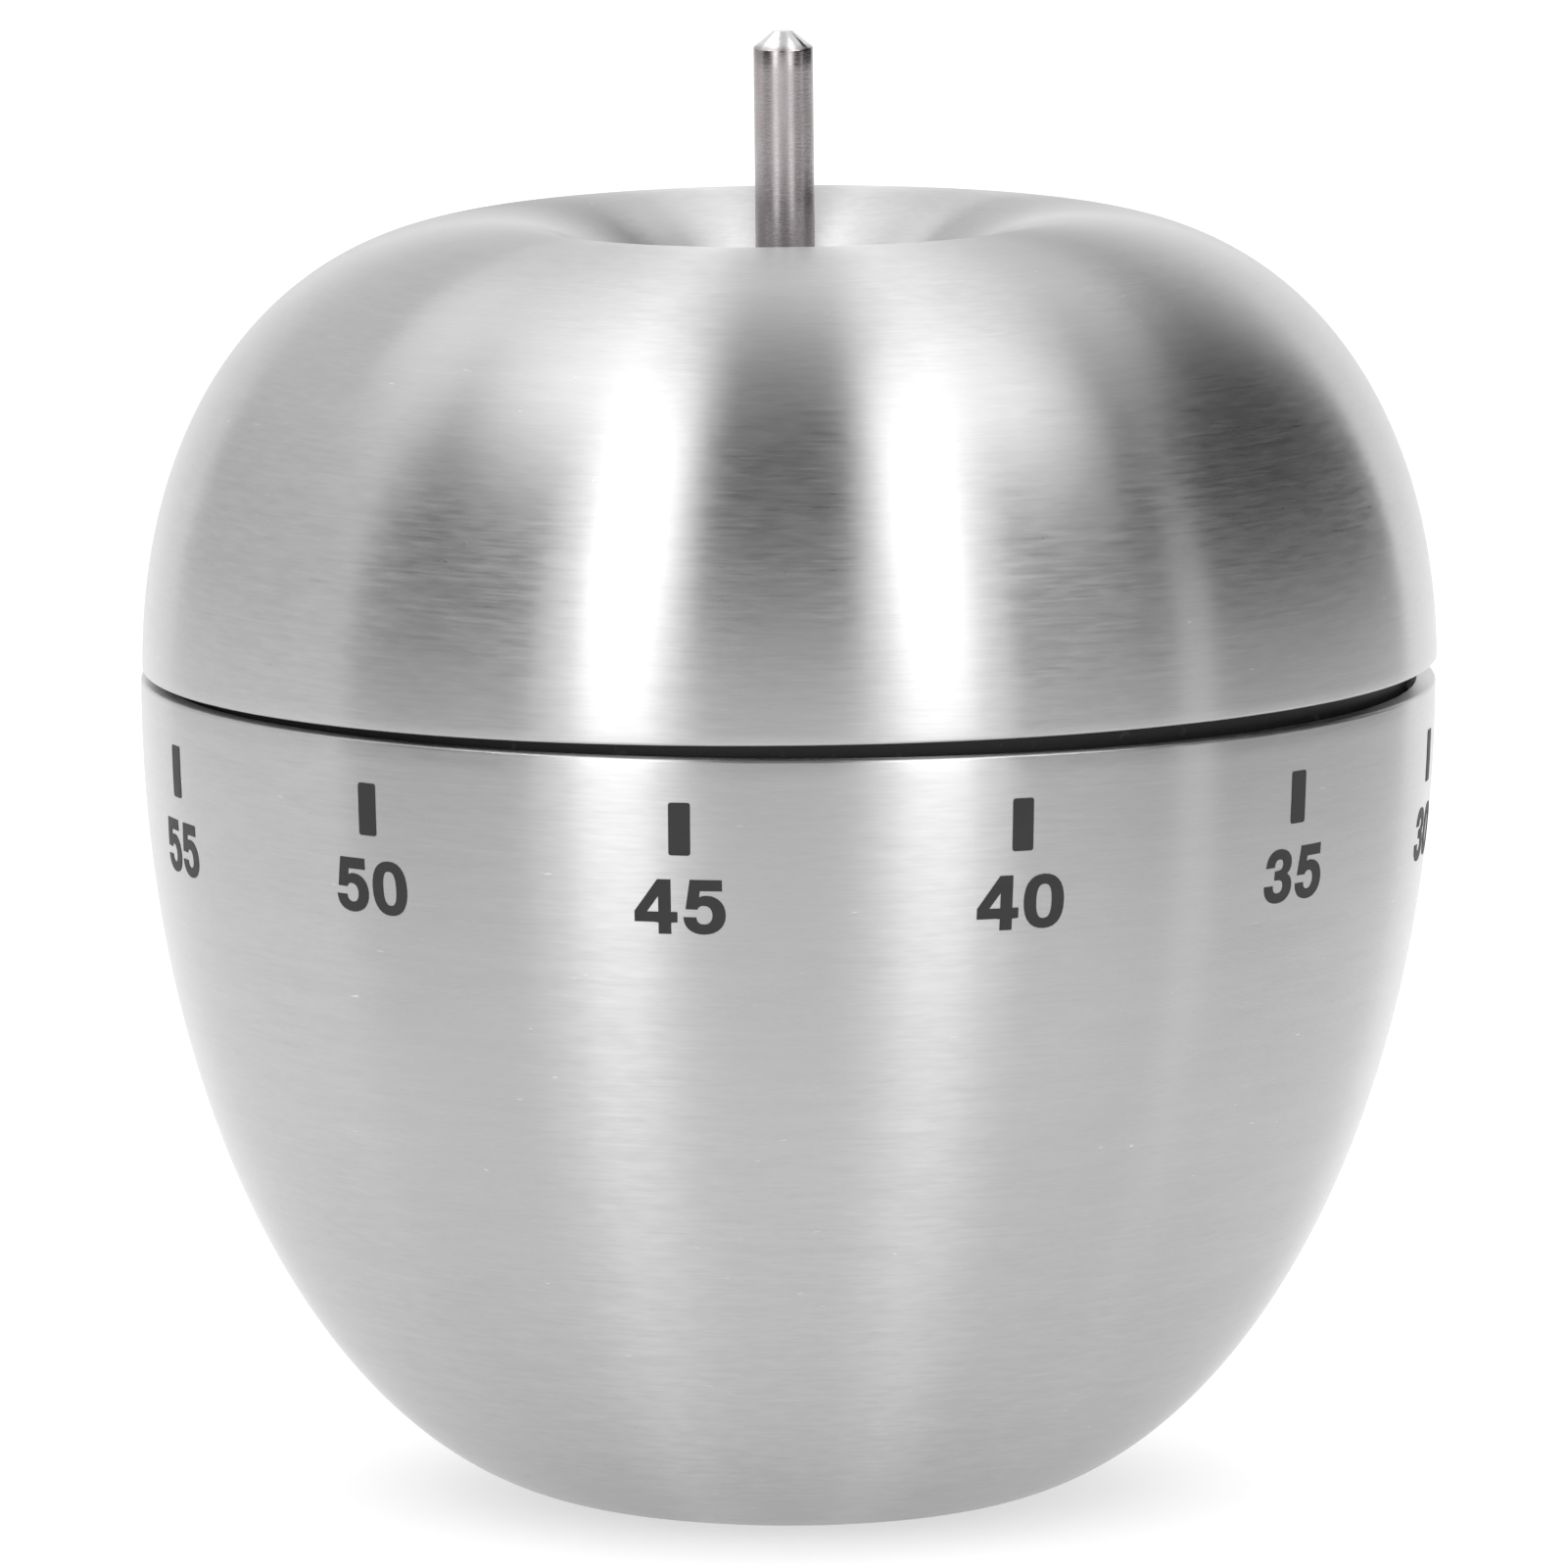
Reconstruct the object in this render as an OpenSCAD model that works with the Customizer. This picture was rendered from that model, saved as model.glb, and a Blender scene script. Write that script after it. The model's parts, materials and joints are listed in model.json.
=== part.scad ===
// Kitchen timer shaped like an apple: a steel bowl that stands still, a domed lid that is
// turned by hand, and a clockwork movement with a bell between them.
// Millimetres. +Z up. Origin: middle of the flat base. The front is towards -Y.

/* [Shells] */
// Widest diameter of both halves, where they meet
body_d = 60; // [50:1:72]
// Height of the lower bowl, base to rim
bowl_h = 38.4; // [32:0.2:46]
// Height of the lid, rim to the crest around the dimple
lid_h = 20.6; // [17:0.05:25]
// Gap between the two rims
gap_h = 0.65; // [0.5:0.05:1.2]
// Thickness of the steel sheet
wall = 0.6; // [0.4:0.05:0.8]
// Thickness of the sheet where the rims are turned in
rim_wall = 0.9; // [0.85:0.05:1.2]
// Diameter of the flat the bowl stands on
base_flat_d = 17; // [12:0.1:20]
// How far the bowl's side runs nearly straight down from its rim
bowl_fullness = 22.3; // [18:0.1:25]
// How far the bottom runs nearly flat outwards from the base
bottom_fullness = 11.3; // [8:0.1:13]
// How far the lid's side runs nearly straight up from its rim
lid_fullness = 12.1; // [9:0.1:14]
// How far the crest runs nearly flat outwards
crest_fullness = 9.9; // [7:0.1:11]
// Diameter of the crest around the dimple
crest_d = 27; // [22:0.1:30]
// Depth of the dimple below the crest
dimple_depth = 5; // [3:0.1:7]
// Diameter of the flat floor of the dimple
dimple_floor_d = 7; // [6.4:0.1:9]
// How far the lid leans on its arbor, degrees: a pressed lid never sits quite square
lid_lean = 0.6; // [0:0.1:0.8]

/* [Stem] */
// Diameter of the stem
stem_d = 2.75; // [2.3:0.05:3.4]
// Height of the stem's tip above the crest
stem_above_crest = 8.65; // [6:0.1:12]
// Height of the bevel at the stem's tip
stem_bevel = 0.75; // [0.3:0.05:0.9]
// Diameter of the flat left at the stem's tip
stem_tip_d = 0.9; // [0.6:0.05:1.6]
// Diameter of the shank that screws into the arbor
shank_d = 2; // [1.6:0.05:2.2]
// Diameter of the washer under the stem
stem_washer_d = 5.6; // [4.4:0.1:6.2]
// Thickness of the washer under the stem
stem_washer_t = 0.4; // [0.3:0.05:0.6]

/* [Lid carrier] */
// Thickness of the carrier's flange
carrier_t = 1.6; // [1.2:0.1:2.2]
// Height of the flange above the lid's rim
carrier_rise = 2.3; // [2.2:0.05:3]
// Diameter of the carrier's hub
hub_d = 12; // [10:0.5:15]
// Thickness of the carrier's ribs
rib_t = 1.2; // [0.8:0.1:2]
// Number of ribs
rib_count = 6; // [4:1:10]
// Diameter of the peg that stops the lid's turn
stop_peg_d = 0.8; // [0.6:0.05:0.9]

/* [Movement frame] */
// Outer diameter of the two plates
plate_d = 43; // [42:0.1:44]
// Thickness of the plates
plate_t = 1.2; // [0.8:0.05:1.4]
// Height of the bottom plate's underside
low_plate_z = 13; // [12.6:0.1:13.2]
// Height of the top plate's underside
top_plate_z = 26; // [25.8:0.1:26.4]
// Height of the movement cover's underside
cover_z = 32.2; // [32:0.1:32.6]
// Thickness of the movement cover
cover_t = 1.4; // [1:0.1:1.6]
// Height of the cover's ring above the bowl's rim
ring_rise = 2.2; // [1.6:0.05:2.3]
// Wall of the cover's ring
ring_wall = 1.6; // [1.2:0.1:2.2]
// Diameter of the pillars between the plates
pillar_d = 2.8; // [2.4:0.1:3.2]
// Distance of the pillars from the middle
pillar_r = 19.6; // [19.3:0.1:19.8]
// Diameter of the screw threads
screw_d = 1.2; // [1:0.05:1.4]
// Diameter of the screw heads
screw_head_d = 2.4; // [2:0.1:2.8]

/* [Gear train] */
// Diameter of the centre arbor
arbor_d = 4; // [3.6:0.1:4.4]
// Diameter of the small arbors
small_arbor_d = 1; // [0.8:0.05:1.1]
// Diameter of the pivots at the ends of the small arbors
pivot_d = 0.7; // [0.5:0.05:0.8]
// Tooth module of the great wheel and the pinions it drives
main_module = 0.4; // [0.39:0.005:0.405]
// Tooth module of the second and third wheels
fine_module = 0.25; // [0.24:0.005:0.255]
// Teeth of the great wheel
great_teeth = 60; // [58:1:60]
// Teeth of the pinions on the great wheel
main_pinion_teeth = 10; // [10:1:10]
// Teeth of the second wheel
second_teeth = 56; // [54:1:56]
// Teeth of the third wheel
third_teeth = 48; // [46:1:48]
// Teeth of the third and escape pinions
fine_pinion_teeth = 8; // [8:1:9]
// Thickness of the great wheel
great_t = 1.2; // [0.8:0.05:1.4]
// Thickness of the other wheels
wheel_t = 0.8; // [0.5:0.05:0.9]
// Length of the pinions
pinion_l = 2.2; // [1.6:0.1:2.4]

/* [Escapement] */
// Teeth of the escape wheel
escape_teeth = 16; // [14:2:18]
// Diameter of the escape wheel over its tips
escape_d = 10; // [9:0.1:10.2]
// Distance between the escape wheel and the anchor
anchor_distance = 7; // [6.8:0.05:7.2]
// Diameter of the pallet pins
pallet_pin_d = 0.6; // [0.4:0.05:0.65]
// Diameter of the balance weight
balance_d = 7.4; // [6:0.1:7.6]

/* [Alarm] */
// Diameter of the bell
bell_d = 29.2; // [28:0.1:29.4]
// Height of the bell
bell_h = 4.8; // [4:0.1:5.2]
// Thickness of the bell's metal
bell_t = 0.7; // [0.5:0.05:0.9]
// Diameter of the hammer's head
hammer_head_d = 2; // [1.6:0.1:2.2]
// Diameter of the alarm cam
cam_d = 12; // [11:0.1:12.4]
// Depth of the cam's notch
notch_depth = 1.2; // [1.1:0.05:1.6]
// Diameter of the star wheel
star_d = 6; // [5.4:0.1:6.2]

/* [Fits] */
// Radial clearance of a pivot in its hole
pivot_clear = 0.02; // [0.01:0.01:0.06]
// Radial clearance of the leaning lid carrier on its arbor
lean_slack = 0.12; // [0.1:0.01:0.2]
// Clearance around the cover's ring, inside the turning lid
ring_clear = 0.45; // [0.4:0.05:0.7]
// Clearance between neighbouring moving pieces
run_clear = 0.3; // [0.25:0.05:0.4]
// Play between meshing teeth, measured along the pitch line
backlash = 0.08; // [0.06:0.01:0.12]
// End play of the arbors between the plates
end_play = 0.15; // [0.1:0.01:0.25]

/* [Hidden] */
$fn = 96;
eps = 0.01;
// Everything across follows the body's diameter, everything up follows the bowl's height.
body_d_std = 60;
bowl_h_std = 38.4;
lid_h_std = 20.6;
wide = body_d / body_d_std;
tall = bowl_h / bowl_h_std;
body_r = body_d / 2;
seat_r = body_r - rim_wall;
rim_z = bowl_h + gap_h;
crest_z = rim_z + lid_h;
floor_z = crest_z - dimple_depth;
lean_z = rim_z + 6;
curve_steps = 26;
dimple_steps = 14;

// Heights inside the bowl
low_z = low_plate_z * tall;
low_top = low_z + plate_t;
top_z = top_plate_z * tall;
top_top = top_z + plate_t;
lid_floor_z = cover_z * tall;
cover_top = lid_floor_z + cover_t;
great_z = 22.4 * tall;
main_pinion_z = great_z - 0.7;
main_pinion_l = great_t + 1.4;
second_z = 18.9 * tall;
third_pinion_z = second_z - 0.6;
third_z = 16.2 * tall;
escape_pinion_z = third_z - 0.6;
escape_z = 19.9 * tall;
anchor_z = 21.3 * tall;
anchor_t = 0.7;
balance_z = 15.9 * tall;
balance_t = 1.8;
cam_z = 20.1 * tall;
cam_t = 1;
lever_t = 0.8;
lever_z = cam_z + (cam_t - lever_t) / 2;
star_z = 16.4 * tall;
star_t = 1.2;
finger_t = 1;
finger_z = star_z + (star_t - finger_t) / 2;
arm_z = 10 * tall;
arm_t = 1;
bell_z = 3.6 * tall;
bell_top = bell_z + bell_h;

// Where the arbors stand, worked out from the gears they carry
shift = 0.5;
pressure = 20;
main_m = main_module * wide;
fine_m = fine_module * wide;
main_cd = main_m * (great_teeth + main_pinion_teeth) / 2;
second_cd = fine_m * (second_teeth + fine_pinion_teeth) / 2;
third_cd = fine_m * (third_teeth + fine_pinion_teeth) / 2;
second_angle = 200;
third_angle = -50;
escape_angle = -20;
star_angle = 75;
hammer_angle = 40;
hammer_r = 15 * wide;
head_angle = 78;
head_r = 17 * wide;
nose_angle = 315;
lever_l = 11 * wide;
nose_r = 0.45;
elbow_out = 1.3;
elbow_r = 0.62;
lever_w = 0.8;
function polar(r, a) = [r * cos(a), r * sin(a)];
second_at = polar(main_cd, second_angle);
third_at = second_at + polar(second_cd, third_angle);
escape_at = third_at + polar(third_cd, escape_angle);
anchor_at = escape_at + [anchor_distance * wide, 0];
star_at = polar(main_cd, star_angle);
hammer_at = polar(hammer_r, hammer_angle);
head_at = polar(head_r, head_angle);
cam_r = cam_d / 2 * wide;
nose_at = polar(cam_r + run_clear + nose_r, nose_angle);
lever_at = nose_at + polar(lever_l, nose_angle + 90);
elbow_at = nose_at + polar(elbow_out * wide, nose_angle);
pillar_angles = [25, 105, 165, 275];
pillar_ring = pillar_r * wide;
plate_r = plate_d / 2 * wide;
small_r = small_arbor_d / 2;
pivot_r = pivot_d / 2;
arbor_r = arbor_d / 2;
thread_r = screw_d / 2;
head_screw_r = screw_head_d / 2;
head_screw_h = 0.8;

// Which way each tooth points so that the wheels mesh while the lid stands at zero
function mesh_phase(a, phase, n_wheel, n_pinion) =
    a + 180 + 180 / n_pinion + (a - phase) * n_wheel / n_pinion;
great_phase = 0;
second_phase = mesh_phase(second_angle, great_phase, great_teeth, main_pinion_teeth);
star_phase = mesh_phase(star_angle, great_phase, great_teeth, main_pinion_teeth);
third_phase = mesh_phase(third_angle, second_phase, second_teeth, fine_pinion_teeth);
escape_phase = mesh_phase(escape_angle, third_phase, third_teeth, fine_pinion_teeth);

// A point on a cubic curve, and the same point pushed inwards by the sheet's thickness
function mix4(a, b, c, d, t) =
    pow(1 - t, 3) * a + 3 * t * pow(1 - t, 2) * b + 3 * t * t * (1 - t) * c + pow(t, 3) * d;
function slope4(a, b, c, d, t) =
    pow(1 - t, 2) * (b - a) + 2 * t * (1 - t) * (c - b) + t * t * (d - c);
function inset4(p, t, side, by) =
    let (v = slope4(p[0], p[1], p[2], p[3], t))
    mix4(p[0], p[1], p[2], p[3], t) + side * by * [-v[1], v[0]] / norm(v);
bowl_curve = [
    [body_r, bowl_h],
    [body_r, bowl_h - bowl_fullness * tall],
    [(base_flat_d / 2 + bottom_fullness) * wide, 0],
    [base_flat_d / 2 * wide, 0]
];
lid_curve = [
    [body_r, rim_z],
    [body_r, rim_z + lid_fullness * lid_h / lid_h_std],
    [(crest_d / 2 + crest_fullness) * wide, crest_z],
    [crest_d / 2 * wide, crest_z]
];
dimple_run = 5.6;
dimple_pull = 3.2;
dimple_curve = [
    [crest_d / 2 * wide, crest_z],
    [(crest_d / 2 - dimple_run) * wide, crest_z],
    [dimple_floor_d / 2 + dimple_pull * wide, floor_z],
    [dimple_floor_d / 2, floor_z]
];

// Colours, one for each material
spun_color = [0.78, 0.78, 0.79];
stem_color = [0.45, 0.42, 0.4];
bright_color = [0.7, 0.7, 0.71];
carrier_color = [0.1, 0.1, 0.1];
cover_color = [0.06, 0.06, 0.06];
plate_color = [0.72, 0.6, 0.3];
turned_color = [0.75, 0.65, 0.35];
gear_color = [0.8, 0.66, 0.3];
spring_color = [0.35, 0.38, 0.45];
ground_color = [0.6, 0.6, 0.62];
cam_color = [0.85, 0.85, 0.82];
stamped_color = [0.75, 0.75, 0.76];
pin_color = [0.5, 0.5, 0.52];
bell_color = [0.75, 0.7, 0.55];

// ---------------------------------------------------------------- shared shapes

// A straight rod standing on its end
module rod(r, z0, z1) {
    translate([0, 0, z0])
        cylinder(r = r, h = z1 - z0);
}

// A flat ring
module washer(r_out, r_in, z, t) {
    translate([0, 0, z])
        difference() {
            cylinder(r = r_out, h = t);
            translate([0, 0, -eps])
                cylinder(r = r_in, h = t + 2 * eps);
        }
}

// Puts a piece at a place on the plates
module at(p) {
    translate([p[0], p[1], 0])
        children();
}

// Leans everything that hangs from the lid
module leaning() {
    translate([0, 0, lean_z])
        rotate([0, -lid_lean, 0])
            translate([0, 0, -lean_z])
                children();
}

// A slot-headed screw, head down when turned over
module screw(z_head, l, down) {
    turn = down ? 180 : 0;
    slot_share = 6;
    slot_w = screw_head_d / slot_share;
    translate([0, 0, z_head])
        rotate([turn, 0, 0]) {
            difference() {
                cylinder(r = head_screw_r, h = head_screw_h);
                translate([-head_screw_r, -slot_w / 2, head_screw_h / 2])
                    cube([screw_head_d, slot_w, head_screw_h]);
            }
            translate([0, 0, -l])
                cylinder(r = thread_r, h = l);
        }
}

// Half the angle a tooth takes up at radius r
function roll(a) = tan(a) - a * PI / 180;
function tooth_half(r, r_base, half0) =
    (half0 - roll(acos(min(1, r_base / r)))) * 180 / PI;

// Outline of an involute gear: up one flank and down the other, tooth after tooth
flank_steps = 4;
function gear_outline(n, m, x, tip, root) =
    let (
        r_pitch = n * m / 2,
        r_base = r_pitch * cos(pressure),
        r_tip = r_pitch + m * tip,
        r_root = r_pitch - m * root,
        r_low = max(r_base, r_root),
        thick = m * (PI / 2 + 2 * x * tan(pressure)) - backlash / 2,
        half0 = thick / (2 * r_pitch) + roll(pressure)
    )
    [
        for (i = [0 : n - 1])
            for (j = [-1 : 2 * flank_steps + 2])
                let (
                    k = j <= flank_steps ? j : 2 * flank_steps + 1 - j,
                    side = j <= flank_steps ? -1 : 1,
                    f = max(k, 0) / flank_steps,
                    r = r_low + (r_tip - r_low) * f,
                    a = i * 360 / n + side * tooth_half(r, r_base, half0)
                )
                if (k >= 0 || r_root < r_base)
                    polar(k < 0 ? r_root : r, a)
    ];

// Big wheels lose half a module of addendum, small pinions gain it, so no tooth is undercut
wheel_tip = 1 - shift;
wheel_root = 1.25 + shift;
pinion_tip = 0.8 + shift;
pinion_root = 1.25 - shift;

// A wheel with round windows
module wheel(n, m, phase, z, t, bore, windows, window_r, window_at) {
    translate([0, 0, z])
        rotate([0, 0, phase])
            difference() {
                linear_extrude(height = t)
                    polygon(gear_outline(n, m, -shift, wheel_tip, wheel_root));
                translate([0, 0, -eps])
                    cylinder(r = bore, h = t + 2 * eps);
                for (i = [0 : windows - 1])
                    rotate([0, 0, (i + 0.5) * 360 / windows])
                        translate([window_at, 0, -eps])
                            cylinder(r = window_r, h = t + 2 * eps);
            }
}

// A small leaved pinion
module pinion(n, m, phase, z, l) {
    translate([0, 0, z])
        rotate([0, 0, phase])
            difference() {
                linear_extrude(height = l)
                    polygon(gear_outline(n, m, shift, pinion_tip, pinion_root));
                translate([0, 0, -eps])
                    cylinder(r = small_r, h = l + 2 * eps);
            }
}

// Outline of a wheel with straight pointed teeth
function pointed_outline(n, r_tip, r_root, tip_w, root_w) = [
    for (i = [0 : n - 1])
        for (s = [[r_root, -root_w], [r_tip, -tip_w], [r_tip, tip_w], [r_root, root_w]])
            polar(s[0], i * 360 / n + s[1] / 2 / s[0] * 180 / PI)
];

// A small arbor with a pivot at each end
module small_arbor(foot_z) {
    shoulder_low = foot_z < low_z ? foot_z : low_top + end_play;
    pivot_low = foot_z < low_z ? foot_z : low_z;
    rod(small_r, shoulder_low, top_z - end_play);
    rod(pivot_r, pivot_low, top_top);
}

// A straight strip between two points
module strip(a, b, w, z, t) {
    d = b - a;
    translate([a[0], a[1], z])
        rotate([0, 0, atan2(d[1], d[0])])
            translate([0, -w / 2, 0])
                cube([norm(d), w, t]);
}

// A flat bar between two points with round ends
module bar(a, b, w, z, t) {
    d = b - a;
    l = norm(d);
    translate([a[0], a[1], z])
        rotate([0, 0, atan2(d[1], d[0])]) {
            translate([0, -w / 2, 0])
                cube([l, w, t]);
            cylinder(r = w / 2, h = t);
            translate([l, 0, 0])
                cylinder(r = w / 2, h = t);
        }
}

// Holes both plates share: pillars and pivots
module plate_holes(z, hammer_hole) {
    translate([0, 0, z - eps]) {
        for (p = [second_at, third_at, escape_at, anchor_at, star_at])
            at(p)
                cylinder(r = pivot_r + pivot_clear, h = plate_t + 2 * eps);
        at(hammer_at)
            cylinder(r = hammer_hole + pivot_clear, h = plate_t + 2 * eps);
        for (a = pillar_angles)
            at(polar(pillar_ring, a))
                cylinder(r = thread_r, h = plate_t + 2 * eps);
    }
}

// ---------------------------------------------------------------- shells and lid

// Bowl: spun steel sheet, rim turned in to seat the cover
module lower_shell() {
    outer = [for (i = [0 : curve_steps])
        mix4(bowl_curve[0], bowl_curve[1], bowl_curve[2], bowl_curve[3], i / curve_steps)];
    inner = [for (i = [curve_steps : -1 : 0])
        let (q = inset4(bowl_curve, i / curve_steps, -1, wall))
        [min(q[0], seat_r), i == 0 ? bowl_h : q[1]]];
    color(spun_color)
        rotate_extrude()
            polygon(concat(outer, [[0, 0], [0, wall]], inner));
}

// Lid: spun steel sheet that curls over the crest and down into the dimple
module upper_shell() {
    hole_r = shank_d / 2 + lean_slack / 2;
    outer = [for (i = [0 : curve_steps])
        mix4(lid_curve[0], lid_curve[1], lid_curve[2], lid_curve[3], i / curve_steps)];
    dimple = [for (i = [1 : dimple_steps])
        mix4(dimple_curve[0], dimple_curve[1], dimple_curve[2], dimple_curve[3],
            i / dimple_steps)];
    dimple_in = [for (i = [dimple_steps : -1 : 1])
        inset4(dimple_curve, i / dimple_steps, 1, wall)];
    inner = [for (i = [curve_steps : -1 : 0])
        let (q = inset4(lid_curve, i / curve_steps, 1, wall))
        [min(q[0], seat_r), i == 0 ? rim_z : q[1]]];
    color(spun_color)
        leaning()
            rotate_extrude()
                polygon(concat(outer, dimple,
                    [[hole_r, floor_z], [hole_r, floor_z - wall]], dimple_in, inner));
}

// Stem: turned steel rod with a bevelled tip and a thinner shank below
module stem() {
    r = stem_d / 2;
    z0 = floor_z + stem_washer_t;
    z1 = crest_z + stem_above_crest;
    color(stem_color)
        leaning() {
            rod(r, z0, z1 - stem_bevel);
            translate([0, 0, z1 - stem_bevel])
                cylinder(r1 = r, r2 = stem_tip_d / 2, h = stem_bevel);
            rod(shank_d / 2, shank_foot_z, z0);
        }
}

// Washer between the stem's shoulder and the dimple's floor
module stem_washer() {
    color(bright_color)
        leaning()
            washer(stem_washer_d / 2, shank_d / 2, floor_z, stem_washer_t);
}

carrier_z = rim_z + carrier_rise;
hub_top_z = floor_z - wall;
arbor_top_z = carrier_z + 5.4;
shank_foot_z = arbor_top_z - 2.6;
tap_foot_z = shank_foot_z - 0.5;
drive_pin_z = carrier_z + 1.4;
drive_pin_r = 0.6;
seat_h = 0.6;
stop_r = 24 * wide;
stop_angle = 180;
stop_lug_w = 0.8;
stop_lug_h = 2.9;
peg_rise = 1.2;
peg_grip = 1;

// Carrier: moulded disc pressed into the lid, with a hub for the arbor and stiffening ribs
module lid_carrier() {
    rib_h = 4.6;
    rib_setback = 5;
    disc_step = 0.8;
    rib_foot_r = seat_r - rib_setback * wide;
    slot_w = 2 * (drive_pin_r + lean_slack);
    color(carrier_color)
        leaning()
            difference() {
                union() {
                    rod(seat_r, carrier_z, carrier_z + seat_h);
                    rod(seat_r - disc_step, carrier_z, carrier_z + carrier_t);
                    rod(hub_d / 2, carrier_z, hub_top_z);
                    for (i = [0 : rib_count - 1])
                        rotate([0, 0, i * 360 / rib_count])
                            translate([0, -rib_t / 2, carrier_z])
                                cube([rib_foot_r, rib_t, carrier_t + rib_h]);
                }
                rod(arbor_r + lean_slack, carrier_z - 1, arbor_top_z + run_clear);
                rod(shank_d / 2 + lean_slack / 2, carrier_z, hub_top_z + 1);
                translate([-hub_d, -slot_w / 2, carrier_z - 1])
                    cube([2 * hub_d, slot_w, 1 + drive_pin_z - carrier_z + drive_pin_r + lean_slack]);
                rotate([0, 0, stop_angle])
                    translate([stop_r, 0, 0])
                        rod(stop_peg_d / 2, carrier_z - 1, carrier_z + peg_grip);
            }
}

// Peg that meets the cover's lug at both ends of the turn
module stop_peg() {
    color(bright_color)
        leaning()
            rotate([0, 0, stop_angle])
                translate([stop_r, 0, 0])
                    rod(stop_peg_d / 2, cover_top + peg_rise, carrier_z + peg_grip);
}

// Cross pin that turns the arbor with the lid
module drive_pin() {
    color(bright_color)
        translate([0, 0, drive_pin_z])
            rotate([0, 90, 0])
                cylinder(r = drive_pin_r, h = hub_d - 2, center = true);
}

// ---------------------------------------------------------------- movement frame

// Half the angle left over by the lid's turn: the lug stands in the middle of it
turn_range = 355;
lug_offset = (360 - turn_range) / 2;

// Cover: black moulding that fills the bowl's mouth; its ring shows in the gap
module movement_cover() {
    ring_r = seat_r - ring_clear;
    foot_step = 0.6;
    bead_drop = 1.2;
    bead_t = 2;
    lug_reach = 1.2;
    lug_root = 0.5;
    foot_r = ring_r - foot_step;
    bore_r = ring_r - ring_wall;
    ring_top = bowl_h + ring_rise;
    bead_top = bowl_h - bead_drop;
    bead_low = bead_top - bead_t;
    lug_in = stop_r - lug_reach;
    lug_out = bore_r + lug_root;
    color(cover_color)
        difference() {
            union() {
                rod(foot_r, lid_floor_z, cover_top);
                difference() {
                    union() {
                        rod(foot_r, lid_floor_z, bead_low);
                        rod(seat_r, bead_low, bead_top);
                        rod(ring_r, bead_low, ring_top);
                    }
                    rod(bore_r, cover_top - eps, ring_top + 1);
                }
                rotate([0, 0, stop_angle + lug_offset])
                    translate([lug_in, -stop_lug_w / 2, cover_top - lug_root])
                        cube([lug_out - lug_in, stop_lug_w, stop_lug_h]);
            }
            rod(arbor_r + run_clear, lid_floor_z - 1, cover_top + 1);
            for (a = pillar_angles)
                at(polar(pillar_ring, a))
                    rod(thread_r, lid_floor_z - 1, cover_top + 1);
        }
}

// Bottom plate: carries the lower pivots, the trip lever's post and the bell
module bottom_plate() {
    color(plate_color)
        difference() {
            rod(plate_r, low_z, low_top);
            plate_holes(low_z, small_r);
            rod(low_bush_r, low_z - 1, low_top + 1);
            at(lever_at)
                rod(post_r, low_z - 1, low_top + 1);
            for (i = [0, 1])
                at(polar(post_screw_r, i * 180 + 90))
                    rod(small_screw_r, low_z - 1, low_top + 1);
            for (p = leaf_screws)
                at(p)
                    rod(small_screw_r, low_z - 1, low_top + 1);
        }
}

// Top plate: carries the upper pivots and the spring cup
module top_plate() {
    color(plate_color)
        difference() {
            rod(plate_r, top_z, top_top);
            plate_holes(top_z, pivot_r);
            rod(top_bush_r, top_z - 1, top_top + 1);
            for (a = rivet_angles)
                at(polar(rivet_ring, a))
                    rod(small_screw_r, top_z - 1, top_top + 1);
        }
}

// Pillars that hold the plates apart, tapped at both ends
module pillars() {
    tap = 3;
    color(turned_color)
        for (a = pillar_angles)
            at(polar(pillar_ring, a))
                difference() {
                    rod(pillar_d / 2, low_top, top_z);
                    rod(thread_r, low_top - 1, low_top + tap);
                    rod(thread_r, top_z - tap, top_z + 1);
                }
}

// Screws up through the bottom plate into the pillars
module plate_screws() {
    bite = 2.6;
    color(bright_color)
        for (a = pillar_angles)
            at(polar(pillar_ring, a))
                screw(low_z, plate_t + bite, true);
}

// Six-sided standoffs that hang the movement under the cover
module standoffs() {
    tap = 2.8;
    stud_l = 2.6;
    sides = 6;
    across = 3.6;
    color(turned_color)
        for (a = pillar_angles)
            at(polar(pillar_ring, a))
                difference() {
                    union() {
                        translate([0, 0, top_top])
                            cylinder(d = across, h = lid_floor_z - top_top, $fn = sides);
                        rod(thread_r, top_z - stud_l, top_top + eps);
                    }
                    rod(thread_r, lid_floor_z - tap, lid_floor_z + 1);
                }
}

// Screws down through the cover into the standoffs
module cover_screws() {
    bite = 2.4;
    color(bright_color)
        for (a = pillar_angles)
            at(polar(pillar_ring, a))
                screw(cover_top, cover_t + bite, false);
}

low_bush_r = 2.2;
top_bush_r = arbor_r + 1.2;
low_pivot_r = 1.2;
pivot_rise = 0.1;
post_r = 0.8;
small_screw_r = 0.4;
post_screw_r = 3.1;
rivet_head_r = 0.8;
rivet_head_h = 0.3;
rivet_ring = 9.5 * wide;
rivet_angles = [30, 150, 270];

// Bushes for the centre arbor, one in each plate
module arbor_bushes() {
    color(gear_color) {
        washer(low_bush_r, low_pivot_r + pivot_clear, low_z, plate_t);
        washer(top_bush_r, arbor_r + pivot_clear, top_z, plate_t);
    }
}

cup_r = 12.4 * wide;
cup_t = 0.5;
cup_share = 0.84;
cup_h = (lid_floor_z - top_top) * cup_share;

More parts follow.
